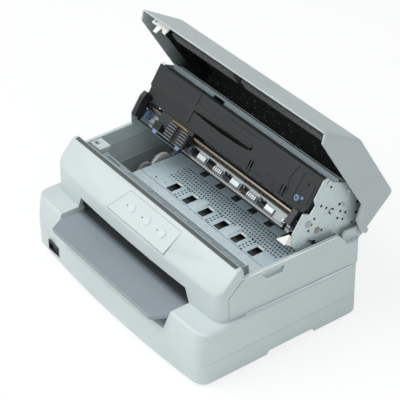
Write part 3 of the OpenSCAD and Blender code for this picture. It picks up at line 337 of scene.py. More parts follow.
# %% Soft finishes
def rubbery(name, rgb, rough=0.72):
    """Dark and smooth, with dust 0.06 lighter where a cloudy noise rises from 0.45 to 0.8."""
    s = Surface(name, rgb, rough)
    dust_and_shade = s.noise(60.0, 5.0)
    s.set("Base Color", s.colour(dust_and_shade.between(0.45, 0.8), rgb, tuple(c + 0.06 for c in rgb)))
    s.bump(s.noise(1800.0, 2.0), 0.3, 0.00006)
    return s


def open_foam(name, dark, pale):
    """Pits from a cell pattern, and pale flecks where a fine noise passes 0.66."""
    s = Surface(name, dark, 0.95)
    fleck = s.noise(430.0, 2.0)
    s.set("Base Color", s.colour(fleck.between(0.655, 0.70), dark, pale))
    s.bump(s.make.node("ShaderNodeTexVoronoi", Vector=s.coord, Scale=420.0), 0.8, 0.0006)
    return s


def felted(name, rgb, fineness=420.0):
    """Fibres along x: from 0.6 to 1.35 of the colour, and a bump 0.4 mm deep."""
    s = Surface(name, rgb, 0.95)
    fibre = s.noise(fineness, 4.0, (0.5, 1, 1))
    s.set("Base Color", s.colour(fibre.between(0.3, 0.7), shade(rgb, 0.6), shade(rgb, 1.35)))
    s.bump(fibre, 0.6, 0.0004)
    return s


def woven_ink(name):
    """A diagonal weave as a fine bump, with a gloss that drifts by 0.2."""
    s = Surface(name, (0.03, 0.03, 0.045), 0.55)
    wave = s.make.node("ShaderNodeTexWave", {"bands_direction": "DIAGONAL"}, Vector=s.coord, Scale=700.0)
    s.bump(wave, 0.3, 0.00005)
    s.set("Roughness", s.noise(90.0, 3.0) * 0.2 + 0.45)
    return s


softs = {
    "black_rubber": rubbery("black rubber", (0.085, 0.09, 0.095)),
    "foam": open_foam("foam", (0.085, 0.11, 0.107), (0.50, 0.56, 0.56)),
    "felt": felted("felt strip", (0.27, 0.29, 0.29)),
    "ink_cloth": woven_ink("inked cloth"),
}
print(len(softs), "soft finishes")

# %% [markdown]
# ## Finishes that change over one piece
# Some pieces aren't the same all over. Shade is painted into the colour at the back of the paper table
# and in its holes, past the slot's mouth and deep inside the cover, and the turned ends of an oiled
# shaft stay clean. Each such layer is laid over the base colour by the piece's own coordinates, so it
# stays put when the piece moves.

# %% Finishes of single pieces
def perforated_sheet(name, rgb):
    """Table steel: painted shade dark inside its holes, where |normal z| < 0.5, and painted shade greying it
    to the rear under the mechanism, blotched by a noise.
    """
    s = zinc_sheet(name, rgb, 0.34, metal=0.1, crystal=260.0)
    # Painted shade: darker towards the rear, where the mechanism shades the table.
    dust_and_shade = s.along("Y").between(0.018, 0.062) * 0.45 * s.noise(30.0, 3.0).between(0.1, 0.6)
    rear_shaded = s.colour(dust_and_shade, s.base(), (0.30, 0.33, 0.34))
    s.set("Base Color", s.colour(abs(s.facing("Z")).between(0.4, 0.6), (0.03, 0.032, 0.034), rear_shaded))
    return s


def shaded_guide(name, rgb):
    """Guide plastic that turns dark past the slot's mouth: painted shade inside the slot."""
    s = moulded(name, rgb, 0.46)
    inside = s.along("Y").between(-0.1165, -0.106) * 0.9
    s.set("Base Color", s.colour(inside, s.base(), (0.10, 0.108, 0.112)))
    return s


def creased_case(name):
    """Case plastic with a fine step in the right wall at z = 34 mm, drawn as a bump 0.7 mm deep."""
    s = moulded(name, CASE_GREY, 0.43)
    right_wall = s.along("X").between(0.186, 0.188)
    s.bump(s.along("Z").between(0.0335, 0.0343) * right_wall, 1.0, 0.0007)
    return s


def shade_painted_cover(name):
    """Cover plastic a painted shade darker than the case, 0.925 of its grey, whose inner side walls, where
    |x| < 188.5 mm and the surface faces along x, darken with painted shade by the depth y cos 60 - z sin 60
    behind the lip of the open cover."""
    s = moulded(name, shade(CASE_GREY, 0.925), 0.43)
    sideways = abs(s.facing("X")).between(0.85, 0.95)
    inside = 1.0 - abs(s.along("X")).between(0.1882, 0.1888)
    depth = (s.along("Y") * 0.5 - s.along("Z") * 0.866).between(-0.158, -0.112)
    s.set("Base Color", s.colour(sideways * inside * depth * 0.96, s.base(), (0.115, 0.13, 0.13)))
    return s


def faced_shaft(name):
    """Oiled shaft whose turned ends, past |x| = 175.5 mm, are clean grey steel."""
    s = drawn_bar(name, (0.50, 0.47, 0.43), 0.17, metal=0.95)
    end = abs(s.along("X")).between(0.1753, 0.1757)
    s.set("Base Color", s.colour(end, s.base(), (0.66, 0.68, 0.66)))
    s.set("Metallic", 0.95 - end * 0.6)
    return s


looks = {**plastics, **metals, **softs}
looks["table_steel"] = perforated_sheet("table steel", (0.85, 0.93, 0.97))
looks["creased_case"] = creased_case("lower case plastic")
looks["shade_painted_cover"] = shade_painted_cover("cover plastic")
looks["faced_shaft"] = faced_shaft("carriage shaft steel")
looks["strip_grey"] = moulded("edge strip grey", (0.35, 0.375, 0.37), 0.5)
# Near-white: painted highlight along the case's edges.
looks["painted_highlight"] = moulded("painted highlight edge", (0.95, 0.97, 0.975), 0.3, depth=0.00001)
looks["platen_steel"] = zinc_sheet("platen steel", (0.90, 0.965, 1.0), 0.3, metal=0.1, crystal=900.0)
looks["pale_guide"] = moulded("pale guide", (0.82, 0.87, 0.885), 0.42)
looks["bar_steel"] = zinc_sheet("bar steel", (0.46, 0.515, 0.53), 0.45, metal=0.4)
looks["rail_steel"] = zinc_sheet("rail steel", (0.62, 0.68, 0.70), 0.4, metal=0.3)
looks["slot_guide"] = shaded_guide("front guide plastic", (0.545, 0.585, 0.61))
# Dark zinc for the parts under the table: painted shade.
looks["shade_dark_zinc"] = zinc_sheet("shade dark zinc", (0.24, 0.26, 0.27), 0.6, metal=0.2)
looks["roller_row"] = rubbery("roller rubber", (0.05, 0.052, 0.056), 0.55)
looks["strip_steel"] = zinc_sheet("strip steel", (0.60, 0.62, 0.62), 0.4, metal=0.5)
looks["chrome"] = drawn_bar("bright tabs", (0.70, 0.73, 0.745), 0.24, metal=0.4)
print(len(looks), "looks")

# %% [markdown]
# ## Dress the CAD nodes
# Each node's record names a material slot, so most nodes take their look from it. A few pieces share
# a slot but not a finish: the paper table is bluer than the frames, and the liner is felt.

# %% Give every node its look
special = {
    "paper_table": "table_steel",
    "lower_case": "creased_case",
    "cover_shell": "shade_painted_cover",
    "carriage_shaft": "faced_shaft",
    "front_guide": "slot_guide",
    "front_rail": "rail_steel",
    "edge_strip": "strip_grey",
    "platen": "platen_steel",
    "inner_guide": "pale_guide",
    "mech_top_bar": "bar_steel",
    "base_plate": "shade_dark_zinc",
    "power_supply": "shade_dark_zinc",
    "cover_liner": "felt",
    "cover_hooks": "white_plastic",
    "pinch_rollers": "roller_row",
    "front_feed_tyres": "roller_row",
    "rear_feed_tyres": "roller_row",
    "pressure_strip": "strip_steel",
    "guide_tabs": "chrome",
}
slot_of = {part["node"]: part["material_slot"] for part in frame["record"]["subparts"]}


def dressed_as(name):
    """A node's own look if it has one, or else its slot's."""
    return looks[special.get(name, slot_of[name])].mat


for name, obj in nodes.items():
    obj.data.materials.clear()
    obj.data.materials.append(dressed_as(name))
print({slot: sum(s == slot for s in slot_of.values()) for slot in sorted(set(slot_of.values()))})

# %% [markdown]
# ## Mesh helpers
# A new piece is worked out as arrays: an outline carried along an axis, a profile turned about one, or a
# ring carried along a path. Several such shapes may share one object. Normals are pointed outwards once,
# smooth shading stops at edges sharper than 35 degrees, and a small bevel gives each edge its highlight.

# %% Carried and turned shapes
import bmesh

OUTWARD = {"x": (1, 2, 0), "y": (0, 2, 1), "z": (0, 1, 2)}


def rings_to_faces(rings, count, closed=False):
    """Quads between rings of `count` points each, and a flat cap at both ends unless the run closes."""
    last = rings if closed else rings - 1
    a = np.arange(last * count)
    ring, k = a // count, a % count
    nxt = (ring + 1) % rings
    here, there, after = ring * count, nxt * count, (k + 1) % count
    quads = np.stack([here + k, here + after, there + after, there + k], axis=1)
    caps = [] if closed else [list(range(count))[::-1], list(range((rings - 1) * count, rings * count))]
    return quads.tolist() + caps


def prism(outline, low, high, axis="x"):
    """An outline in the other two axes, carried from low to high along the named one."""
    o = np.asarray(outline, dtype=float)
    n = len(o)
    v = np.zeros((2 * n, 3))
    a, b, c = OUTWARD[axis]
    v[:, a], v[:, b] = np.tile(o[:, 0], 2), np.tile(o[:, 1], 2)
    v[:n, c], v[n:, c] = low, high
    return v, rings_to_faces(2, n)


def lathe(profile, at, axis, steps=28):
    """Profile points (radius, height) turned about an axis: p = at + r (e1 cos t + e2 sin t) + h axis."""
    k = np.asarray(axis, dtype=float) / np.linalg.norm(axis)
    e1 = np.cross(k, [0.0, 1.0, 0.0] if abs(k[1]) < 0.9 else [1.0, 0.0, 0.0])
    e1 /= np.linalg.norm(e1)
    e2 = np.cross(k, e1)
    pr = np.asarray(profile, dtype=float)
    t = np.linspace(0, 2 * np.pi, steps, endpoint=False)
    turn = np.cos(t)[:, None] * e1 + np.sin(t)[:, None] * e2
    v = np.asarray(at) + pr[:, 0, None, None] * turn[None] + pr[:, 1, None, None] * k
    return v.reshape(-1, 3), rings_to_faces(len(pr), steps)


def points_at(x, y, z):
    """A row of points from three coordinates, each one number or a row of them."""
    return np.stack(np.broadcast_arrays(x, y, z), axis=-1).astype(float)


def tube(path, radius, sides=8, up=(0.0, 0.0, 1.0)):
    """Rings of a round section along a path; each ring is square to the path's own direction."""
    p = np.asarray(path, dtype=float)
    t = np.gradient(p, axis=0)
    t /= np.linalg.norm(t, axis=1)[:, None]
    n = np.cross(t, up)
    n /= np.linalg.norm(n, axis=1)[:, None]
    b = np.cross(t, n)
    a = np.linspace(0, 2 * np.pi, sides, endpoint=False)
    ring = np.cos(a)[None, :, None] * n[:, None] + np.sin(a)[None, :, None] * b[:, None]
    return (p[:, None] + radius * ring).reshape(-1, 3), rings_to_faces(len(p), sides)


print("prism, lathe and tube ready")

# %% Screw heads and rounded outlines
def cross_head(at, axis, radius, steps=32, rings=9):
    """A pan head screw: height = 0.55 R (1 - 0.4 (r/R)^2), less 0.3 R inside the arms of the cross."""
    r = np.linspace(0.04, 1.0, rings) * radius
    t = np.linspace(0, 2 * np.pi, steps, endpoint=False)
    rr, tt = np.meshgrid(r, t, indexing="ij")
    arm = np.minimum(abs(np.cos(tt)), abs(np.sin(tt))) * rr < 0.15 * radius
    h = 0.55 * radius * (1 - 0.4 * (rr / radius) ** 2) - 0.3 * radius * (arm & (rr < 0.6 * radius))
    v, faces = lathe(np.stack([np.append(r, radius), np.append(r * 0, 0.0)], axis=-1), at, axis, steps)
    v = v.reshape(rings + 1, steps, 3)
    v[:rings] += (h[..., None]) * np.asarray(axis, dtype=float) / np.linalg.norm(axis)
    return v.reshape(-1, 3), faces


def panel_outline(x0, x1, u0, u1, r, steps=6):
    """A rectangle with rounded corners of radius r, as points (x, up)."""
    t = np.linspace(0, math.pi / 2, steps)
    parts = []
    for k, (cx, cu) in enumerate(((x1 - r, u1 - r), (x0 + r, u1 - r), (x0 + r, u0 + r), (x1 - r, u0 + r))):
        a = t + k * math.pi / 2
        parts.append(np.stack([cx + r * np.cos(a), cu + r * np.sin(a)], axis=1))
    return np.concatenate(parts)


print("screw head and rounded outline ready")

# %% From shapes to a finished object
def together(shapes):
    """Joins (points, faces) pairs into one pair."""
    points, faces, start = [], [], 0
    for v, f in shapes:
        points.append(np.asarray(v, dtype=float))
        faces += [[i + start for i in face] for face in f]
        start += len(v)
    return np.concatenate(points), faces


def piece(name, shapes, look, body, place=on_base, bevel=0.0, sharp=35.0):
    """Makes one object of one or more shapes, dresses it and lets it ride on its body."""
    points, faces = together(shapes)
    mesh = bpy.data.meshes.new(name)
    mesh.from_pydata(metres(place(points)).tolist(), [], faces)
    work = bmesh.new()
    work.from_mesh(mesh)
    bmesh.ops.recalc_face_normals(work, faces=work.faces)
    work.to_mesh(mesh)
    work.free()
    finish_mesh(mesh, sharp)
    obj = bpy.data.objects.new(name, mesh)
    bpy.context.scene.collection.objects.link(obj)
    mesh.materials.append(looks[look].mat)
    if bevel:
        add_bevel(obj, bevel / 1000.0, sharp)
    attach(obj, body)
    print(f"{name}: {len(points)} points on {body}")
    return obj


def finish_mesh(mesh, sharp):
    """Smooth shading that stops at edges over `sharp` degrees."""
    mesh.polygons.foreach_set("use_smooth", np.ones(len(mesh.polygons), dtype=bool))
    mesh.set_sharp_from_angle(angle=math.radians(sharp))
    mesh.update()


def add_bevel(obj, width, sharp, segments=2):
    """Rounds every edge over `sharp` degrees by `width` metres."""
    mod = obj.modifiers.new("edges", "BEVEL")
    mod.width, mod.segments, mod.limit_method = width, segments, "ANGLE"
    mod.angle_limit = math.radians(sharp)
    mod.harden_normals = True


print("mesh helpers ready")

# %% [markdown]
# ## Rounded mouldings
# No moulded edge is knife sharp: it catches a thin line of light. The CAD solids keep their sharp edges,
# so each large moulding gets a copy that is merged, cleared of its flat triangles and given a narrow
# bevel. The copy stands for the node and stays in its place.

# %% Round the edges of the mouldings
def softened(node, width, sharp=32.0):
    """A merged copy of a node with every edge over `sharp` degrees rounded by `width` millimetres."""
    mesh = nodes[node].data.copy()
    work = bmesh.new()
    work.from_mesh(mesh)
    bmesh.ops.remove_doubles(work, verts=work.verts, dist=2e-6)
    bmesh.ops.dissolve_limit(work, angle_limit=math.radians(0.6), verts=work.verts, edges=work.edges)
    work.to_mesh(mesh)
    work.free()
    finish_mesh(mesh, sharp)
    obj = bpy.data.objects.new(node + "_moulding", mesh)
    bpy.context.scene.collection.objects.link(obj)
    add_bevel(obj, width / 1000.0, sharp)
    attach(obj, body_of(nodes[node])[0])
    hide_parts(node)
    return obj


MOULDINGS = {
    "lower_case": 1.1, "side_housing": 1.0, "front_housing": 0.6, "cover_shell": 0.6,
    "front_guide": 0.5, "control_plate": 0.3, "latch_seats": 0.4,
}
for node, width in MOULDINGS.items():
    copy = softened(node, width)
    print(copy.name, len(copy.data.polygons), "faces before its bevel")

# %% [markdown]
# ## The paper table
# The table is one pressed sheet. Behind each window for a feed roller the press has folded the metal
# down into a small ramp, so that the paper's edge can't catch. Each ramp is a bent strip: its line in
# the Y-Z plane is thickened upwards and carried across. Two low pads are raised between the windows.

# %% Ramps behind the windows
def bent_strip(line, thickness):
    """A closed outline: the line, and back along the same line moved by `thickness` to its left."""
    p = np.asarray(line, dtype=float)
    t = np.gradient(p, axis=0)
    t /= np.linalg.norm(t, axis=1)[:, None]
    left = np.stack([-t[:, 1], t[:, 0]], axis=1)
    return np.concatenate([p, (p + thickness * left)[::-1]])


WINDOW_X = np.arange(-90, 91, 36) + 0.6
ROW_SHIFT = 55.1
RAMP_HALF, SHEET = 6.0, 0.5
RAMP_LINE = np.array([(56.3, 77.9), (57.2, 78.25), (58.2, 78.65), (59.4, 78.75), (60.3, 78.35)])
for row, shift in (("front", 0.0), ("rear", ROW_SHIFT)):
    line = bent_strip(RAMP_LINE + (shift, 0.0), SHEET)
    ramps = [prism(line, x - RAMP_HALF, x + RAMP_HALF) for x in WINDOW_X]
    piece(f"table_ramps_{row}", ramps, "platen_steel", "base", bevel=0.12)

# %% Pads between the windows
PAD_X, PAD_HALF, PAD_Y, PAD_Z = (-34.8, 37.0), 5.7, (38.2, 62.6), (78.4, 79.0)
pads = [prism(panel_outline(x - PAD_HALF, x + PAD_HALF, *PAD_Y, 1.5), *PAD_Z, "z") for x in PAD_X]
piece("table_pads", pads, "platen_steel", "base", bevel=0.3)

# %% [markdown]
# ## The ribbon cartridge's face
# The cartridge is a flat box of dark plastic. On its face a raised panel with grip ribs fills the left
# third, a ledge runs above a long groove in the middle, and a curved bead follows the wound ribbon at
# the right. Everything is drawn on the face itself and then leaned and swung with the mechanism.

# %% Raised panel, ledge and pad
SUNK = -0.2


def on_face(name, shapes, look="dark_plastic", body="mechanism", bevel=0.0):
    """One object on the cartridge's face; it starts just under the face, so that no gap shows."""
    return piece(name, shapes, look, body, on_cartridge, bevel)


PANEL_HIGH, RIB_HIGH, RIB_WIDE = 0.9, 1.35, 1.1
panel = prism(panel_outline(-172, -79, 5, 48.5, 2.5), SUNK, PANEL_HIGH, "z")
RIB_FEET = (11, 14.5, 18, 33, 36.5, 40)
ribs = [prism(panel_outline(-164, -88, u, u + RIB_WIDE, 0.5), 0.8, RIB_HIGH, "z") for u in RIB_FEET]
on_face("cartridge_panel", [panel] + ribs, bevel=0.2)
LEDGE_LOW = [(-79, 24.6), (-23, 26.2), (8, 27.7), (41.5, 28.8)]
LEDGE_HIGH = [(44.5, 29.6), (42.0, 30.4), (8, 30.2), (-23, 28.8), (-79, 27.0)]
on_face("cartridge_ledge", [prism(LEDGE_LOW + LEDGE_HIGH, SUNK, 1.5, "z")], bevel=0.4)
on_face("cartridge_pad", [prism(panel_outline(79.5, 101.5, 3.5, 14.0, 1.0), SUNK, 0.3, "z")], bevel=0.1)

# %% [markdown]
# The groove under the ledge and the slots where the cover clips in are deep and unlit on the real
# cartridge. Thin inlays in a black that hardly shines are painted shade: the ledge's shadow over its
# groove, and the dark of the slots. They read the same and need no cut in the solid.

# %% Groove, beads and slots
# A black that hardly shines, for painted shade in grooves, slots and holes.
looks["painted_shade_black"] = moulded("shadow black", (0.014, 0.015, 0.016), 0.9, drift=0.2)
looks["painted_shade_black"].shader.inputs["Specular IOR Level"].default_value = 0.1
GROOVE_SHADOW_LOW = [(-79, 22.8), (-49, 21.0), (-18, 20.4), (13.5, 21.4), (38, 23.4), (44, 26.6)]
GROOVE_SHADOW_HIGH = [(43.5, 29.0), (41.5, 28.7), (8, 27.6), (-23, 26.1), (-79, 24.5)]
on_face("cartridge_groove_shadow", [prism(GROOVE_SHADOW_LOW + GROOVE_SHADOW_HIGH, SUNK, 0.12, "z")], "painted_shade_black")
bend = np.linspace(0.0, 1.0, 17)
arc = points_at(128.0 - 6.0 * np.sin(math.pi * bend), 8.0 + 38.0 * bend, 0.05)
low_bead = points_at(np.linspace(-60, 118, 12), 5.5, 0.0)
frame_line = panel_outline(139.5, 168.5, 2.5, 46.0, 5.0)
frame_line = np.concatenate([frame_line, frame_line[:2]])
frame_bead = points_at(frame_line[:, 0], frame_line[:, 1], 0.0)
on_face("cartridge_beads", [tube(arc, 0.8), tube(low_bead, 0.6), tube(frame_bead, 0.6)])
SLOTS = ((50.5, 2.0, 16.0), (55.9, 2.0, 16.5), (116.4, 1.5, 15.6), (123.0, 1.0, 15.0))
SLOT_HALF = 0.95
slot_lines = [panel_outline(x - SLOT_HALF, x + SLOT_HALF, low, high, 0.8) for x, low, high in SLOTS]
slots = [prism(line, SUNK, 0.14, "z") for line in slot_lines]
on_face("cartridge_slot_shade", slots, "painted_shade_black")

# %% [markdown]
# A small ring stands beside the ribbon knob, a black disc paints the shade in the knob's hollow centre,
# and a boss surrounds the cover's fixing hole. Each is a profile of (radius, height) turned about the
# face's own normal.

# %% Knob's centre, boss and ring
OUT = (0, 0, 1)
EYE = [(0.2, 0.0), (1.5, 0.0), (1.5, 0.12), (0.2, 0.12)]
BOSS = [(1.2, -0.1), (3.4, -0.1), (3.4, 0.35), (3.0, 0.6), (1.5, 0.6), (1.2, 0.3)]
RING = [(0.9, -0.1), (2.2, -0.1), (2.2, 0.8), (1.9, 1.1), (1.2, 1.1), (0.9, 0.8)]
on_face("knob_eye", [lathe(EYE, (148.0, 12.0, 1.02), OUT)], "painted_shade_black", "knob")
on_face("cartridge_boss", [lathe(BOSS, (151.0, 30.5, 0.0), OUT)])
on_face("cartridge_ring", [lathe(RING, (154.6, 15.0, 0.0), OUT)], "blue_grey_plastic")

# %% [markdown]
# ## The print head
# The head's aluminium body is a stack of cooling fins, blackened, with the milled front edges left
# bright. Two gold-plated leads run across its top to the needle coils.

# %% Fin edges and leads
FIN_FOOT, FIN_PITCH, FIN_COUNT = 83.6, 4.0625, 6
FIN_EDGE = np.array([(18.2, 0.25), (18.2, 1.15), (18.9, 1.4), (18.9, 0.0)])
FIN_COLUMNS = ((-103.5, -87.5), (-76.5, -62.5))
levels = FIN_FOOT + FIN_PITCH * np.arange(FIN_COUNT)
edges = [prism(FIN_EDGE + (0.0, z), x0, x1) for z in levels for x0, x1 in FIN_COLUMNS]
piece("fin_edges", edges, "strip_steel", "carriage_unit", on_mechanism, bevel=0.15)
lead_x = np.linspace(-105.0, -71.5, 9)
lead_z = 107.6 + 0.9 * np.sin(np.linspace(0, math.pi, 9))
leads = [tube(points_at(lead_x, y, lead_z), 0.45) for y in (22.6, 24.6)]
looks["gold_lead"] = moulded("gold lead", (0.80, 0.66, 0.36), 0.3, depth=0.00001, coat=0.2)
piece("head_leads", leads, "gold_lead", "carriage_unit", on_mechanism)

# %% [markdown]
# ## Fasteners and springs on the mechanism
# Screws hold the cross bars to the side plates. Each head is turned from a low dome, and the cross
# recess is sunk into it by a formula. A pull spring lies low on the right plate, and a greasy bearing
# bush carries the shaft.

# %% Screws, bush and spring
PLATE_X = 176.0
SCREWS = ((68.2, 144, 3.1), (67.2, 164, 3.1), (39.7, 73.4, 2.2), (116.0, 97.5, 2.6))
screws = [cross_head((side * PLATE_X, y, z), (side, 0, 0), r) for side in (1, -1) for y, z, r in SCREWS]
piece("plate_screws", screws, "plated_steel", "mechanism", on_mechanism, sharp=50.0)
BUSH = [(1.6, 0.0), (4.4, 0.0), (4.4, 0.6), (4.0, 0.9), (3.3, 0.9), (3.1, 1.6), (2.2, 1.8), (1.6, 1.3)]
bushes = [lathe(BUSH, (side * PLATE_X, 52.6, 101.7), (side, 0, 0)) for side in (1, -1)]
looks["oiled_bronze"] = drawn_bar("oiled bronze", (0.60, 0.59, 0.53), 0.35, along=(1, 1, 1), metal=0.35)
piece("shaft_bushes", bushes, "oiled_bronze", "mechanism", on_mechanism, bevel=0.1)
TURNS, COIL, WIRE = 11, 1.3, 0.3
a = np.linspace(0, 2 * np.pi * TURNS, TURNS * 12)
coil = points_at(PLATE_X + 1.9 + COIL * np.cos(a), 48.0 + 20.0 * a / a[-1], 86.0 + COIL * np.sin(a))
piece("plate_spring", [tube(coil, WIRE, 6)], "black_metal", "mechanism", on_mechanism)

# %% [markdown]
# The plates are pierced all over, and behind each hole it is dark. A thin black disc just inside a hole
# paints that shade and keeps the hole's own edge in sight. A few more holes, which only the looks need,
# are black discs on the plate: painted shade of holes that the solid lacks.

# %% Dark holes and the top bar's rolled edge
DISC = np.array([(0.2, 0.02), (1.0, 0.02), (1.0, 0.1), (0.2, 0.1)])
MORE_HOLES = ((92.7, 155.6, 3.0), (101.0, 141.9, 2.2), (58.4, 85.8, 3.2), (104.0, 128.0, 1.6))
PIERCED = (
    (35.3, 131.3), (45.7, 131.5), (63.7, 142.6), (82.5, 136.4), (72.8, 135.0), (84.7, 126.8), (75.0, 125.5),
    (36.8, 113.0), (38.0, 104.7), (39.1, 96.3), (32.6, 157.7), (60.0, 104.0), (88.0, 104.0), (100.0, 96.0),
)
HOLE_R, PLUG_DEPTH = 1.88, 0.35
holes = [lathe(DISC * (r, 1.0), (PLATE_X, y, z), (1, 0, 0), 20) for y, z, r in MORE_HOLES]
plugs = [lathe(DISC * (HOLE_R, 1.0), (PLATE_X - PLUG_DEPTH, y, z), (1, 0, 0), 20) for y, z in PIERCED]
piece("plate_holes", holes + plugs, "painted_shade_black", "mechanism", on_mechanism)
rolled = tube(points_at(np.linspace(-172.0, 172.0, 21), 51.6, 170.3), 0.7)
piece("top_bar_edge", [rolled], "galvanised_steel", "mechanism", on_mechanism)

# %% [markdown]
# ## Foam at the back of the cover
# The cover is lined against noise. Besides its pads under the roof and the front slope, a thin foam
# sheet is glued to the inner rear wall, and it fills the view behind the mechanism. It is a prism: the
# wall's inner line in the Y-Z plane, and the same line 2 mm further in.

# %% Rear foam sheet
CROWN, HEEL, WALL = np.array([132.4, 184.0]), np.array([148.2, 119.4]), 3.0
SHEET_FROM, SHEET_TO, SHEET_HALF, SHEET_THICK = 3.6, 47.0, 186.4, 2.0
run_down = (HEEL - CROWN) / np.linalg.norm(HEEL - CROWN)
inward = np.array([run_down[1], -run_down[0]])
inner_top = CROWN + WALL * inward + SHEET_FROM * run_down
inner_end = CROWN + WALL * inward + SHEET_TO * run_down
sheet_line = [
    inner_top - 0.05 * inward, inner_end - 0.05 * inward, inner_end + 1.2 * inward,
    inner_end + SHEET_THICK * inward - 1.0 * run_down, inner_top + SHEET_THICK * inward,
]
piece("rear_foam", [prism(sheet_line, -SHEET_HALF, SHEET_HALF)], "foam", "cover", on_cover, bevel=0.3)
print("foam sheet from", inner_top.round(1), "to", inner_end.round(1))

# %% [markdown]
# ## Felt bars behind the cover's lip
# Two bars of coarse felt are glued under the front slope, left and right of a gap in the middle. The
# outline is the bar's section in the Y-Z plane of the shut cover: its upper edge follows the slope.

# %% Felt bars
LIP, SLOPE_RISE = (-41.0, 150.9), 0.563
BAR_Y, BAR_Z = (-20.0, -3.5), 149.2


def slope_inside(y):
    """Height of the slope's inner face at y: lip + (y - lip) x rise, less the wall measured upright."""
    return LIP[1] + (y - LIP[0]) * SLOPE_RISE - WALL * math.hypot(1.0, SLOPE_RISE) - 0.2


front, back = BAR_Y
bar = [(front, BAR_Z), (back, BAR_Z), (back, slope_inside(back)), (front, slope_inside(front))]
looks["coarse_felt"] = felted("coarse felt", (0.31, 0.325, 0.32), 650.0)
bars = [prism(bar, x0, x1) for x0, x1 in ((-138.0, -4.0), (12.0, 181.0))]
piece("felt_bars", bars, "coarse_felt", "cover", on_cover, bevel=0.8)
print("bar", back - front, "mm wide and", round(slope_inside(front) - BAR_Z, 1), "mm high at its front")

# %% [markdown]
# ## The paper's side guide
# At the left end of the pressure strip a smooth blue-grey runner steers the edge of the paper. In
# profile it is a rounded shoe, pointed at the front.

# %% Side guide
t = np.linspace(0, math.pi, 11)
crown = np.stack([37.0 - 5.0 * np.cos(t), 91.0 + 6.5 * np.sin(t)], axis=1)
shoe = prism(np.concatenate([[(31.0, 85.0)], crown, [(44.0, 85.5), (38.0, 84.2)]]), -173.0, -163.5)
blue = "blue_grey_plastic"
piece("paper_side_guide", [shoe], blue, "mechanism", on_mechanism, bevel=0.6)

# %% [markdown]
# ## Beads and bright edges on the case
# The side walls end in a thin bead that the cover's rim closes over, in the paler button plastic as a
# painted highlight. Near-white tubes paint the highlights along the walls' outer edges, the lip at the
# seam between the two mouldings and the edge of each finger recess. Each is a thin tube laid along the
# edge, which sits half in the wall.

# %% Wall beads and edges
SIDES = (-1, 1)
WALL_TOP, SEAM_Z = 135.0, 81.1


def wall_x(y):
    """Half width of the case's upper walls at y: 184.5 at the front, 189.5 at the rear."""
    return 184.5 + 5.0 * (y + 70.0) / 210.0


bead_y = np.linspace(-46, 100, 25)
beads = [tube(points_at(side * (wall_x(bead_y) - 4.8), bead_y, WALL_TOP), 0.75) for side in SIDES]
# The beads are in the paler button plastic: painted highlight.
piece("wall_beads", beads, "button_plastic", "base")
rims = [tube(points_at(side * (wall_x(bead_y) - 0.65), bead_y, WALL_TOP), 0.6) for side in SIDES]
seam_y = np.linspace(-40, 124, 25)
seam_x = np.minimum(wall_x(seam_y) + 1.7, 190.4)
seams = [tube(points_at(side * seam_x, seam_y, SEAM_Z), 0.75) for side in SIDES]
grip_y = np.array([-12.5, -5.0, 2.0, 9.0, 16.6, 18.4, 20.4, 22.4])
grip_z = np.array([119.5, 119.5, 119.5, 119.5, 119.5, 124.4, 129.6, 134.6])
grip_x = wall_x(grip_y) - 0.1
grips = [tube(points_at(side * grip_x, grip_y, grip_z), 0.45, up=(1.0, 0.0, 0.0)) for side in SIDES]
piece("wall_edges", rims + seams + grips, "painted_highlight", "base")

# %% [markdown]
# ## The control plate's gap and the button collars
# The plate is set into the sloping panel with a hair of shadow round it, painted as a grey tube half
# sunk along its outline, and each push button stands in a shallow collar. Both are drawn on the slope
# itself: across, up the slope, and out of it.

# %% Plate gap and button collars
SLOPE, SLOPE_FOOT = math.radians(37.0), np.array([0.0, -84.5, 124.0])
slope_up = np.array([0.0, math.cos(SLOPE), math.sin(SLOPE)])
slope_out = np.array([0.0, -math.sin(SLOPE), math.cos(SLOPE)])


def on_slope(across, up, out):
    """foot + across X + up the slope + out of it."""
    return SLOPE_FOOT + points_at(across, 0.0, 0.0) + np.multiply.outer(up, slope_up) + out * slope_out


PLATE_CORNERS = np.array([(-52.1, 1.1), (74.1, 1.1), (75.1, 37.1), (-37.1, 37.1)])
share = np.linspace(0, 1, 6, endpoint=False)[:, None]
ends = np.roll(PLATE_CORNERS, -1, axis=0)
gap = np.concatenate([first + (last - first) * share for first, last in zip(PLATE_CORNERS, ends)])
gap = np.concatenate([gap, gap[:1]])
looks["gap_shadow_grey"] = moulded("gap shadow grey", (0.54, 0.575, 0.58), 0.8)
gap_tube = tube(on_slope(gap[:, 0], gap[:, 1], -0.33), 0.38, 6, slope_out)
piece("plate_gap_shadow", [gap_tube], "gap_shadow_grey", "base")
COLLAR = [(6.25, 0.0), (7.3, 0.0), (7.1, 0.3), (6.45, 0.3)]
BUTTON_X, BUTTON_UP = (-15.2, 18.3, 51.8), 19.7
collars = [lathe(COLLAR, on_slope(x, BUTTON_UP, -0.25), slope_out, 36) for x in BUTTON_X]
piece("button_collars", collars, "button_plastic", "base")

# %% [markdown]
# ## Connectors at the rear
# Two threaded posts flank a rear socket. Each is a profile turned in six steps, so it comes out hexagonal.

# %% Rear posts
POST_Y, POST_Z = 139.4, 34.0
HEX_POST = [(0.9, -0.2), (2.4, 0.0), (2.4, 1.6), (2.0, 1.9), (1.2, 1.9), (1.1, 0.6)]
posts = [lathe(HEX_POST, (x, POST_Y, POST_Z), (0, 1, 0), 6) for x in (80.5, 111.5)]
piece("port_posts", posts, "plated_steel", "base")

# %% [markdown]
# ## Studio
# A near-white floor curves up into a backdrop. A large soft key light hangs high to the left of the
# camera and a weaker one at the printer's right side, so the rounded corner between them stays a
# shade darker than either face. The world adds an even pale fill. The camera and mirror-like metal see
# floor and world as near white, while shadows still fall on the floor.

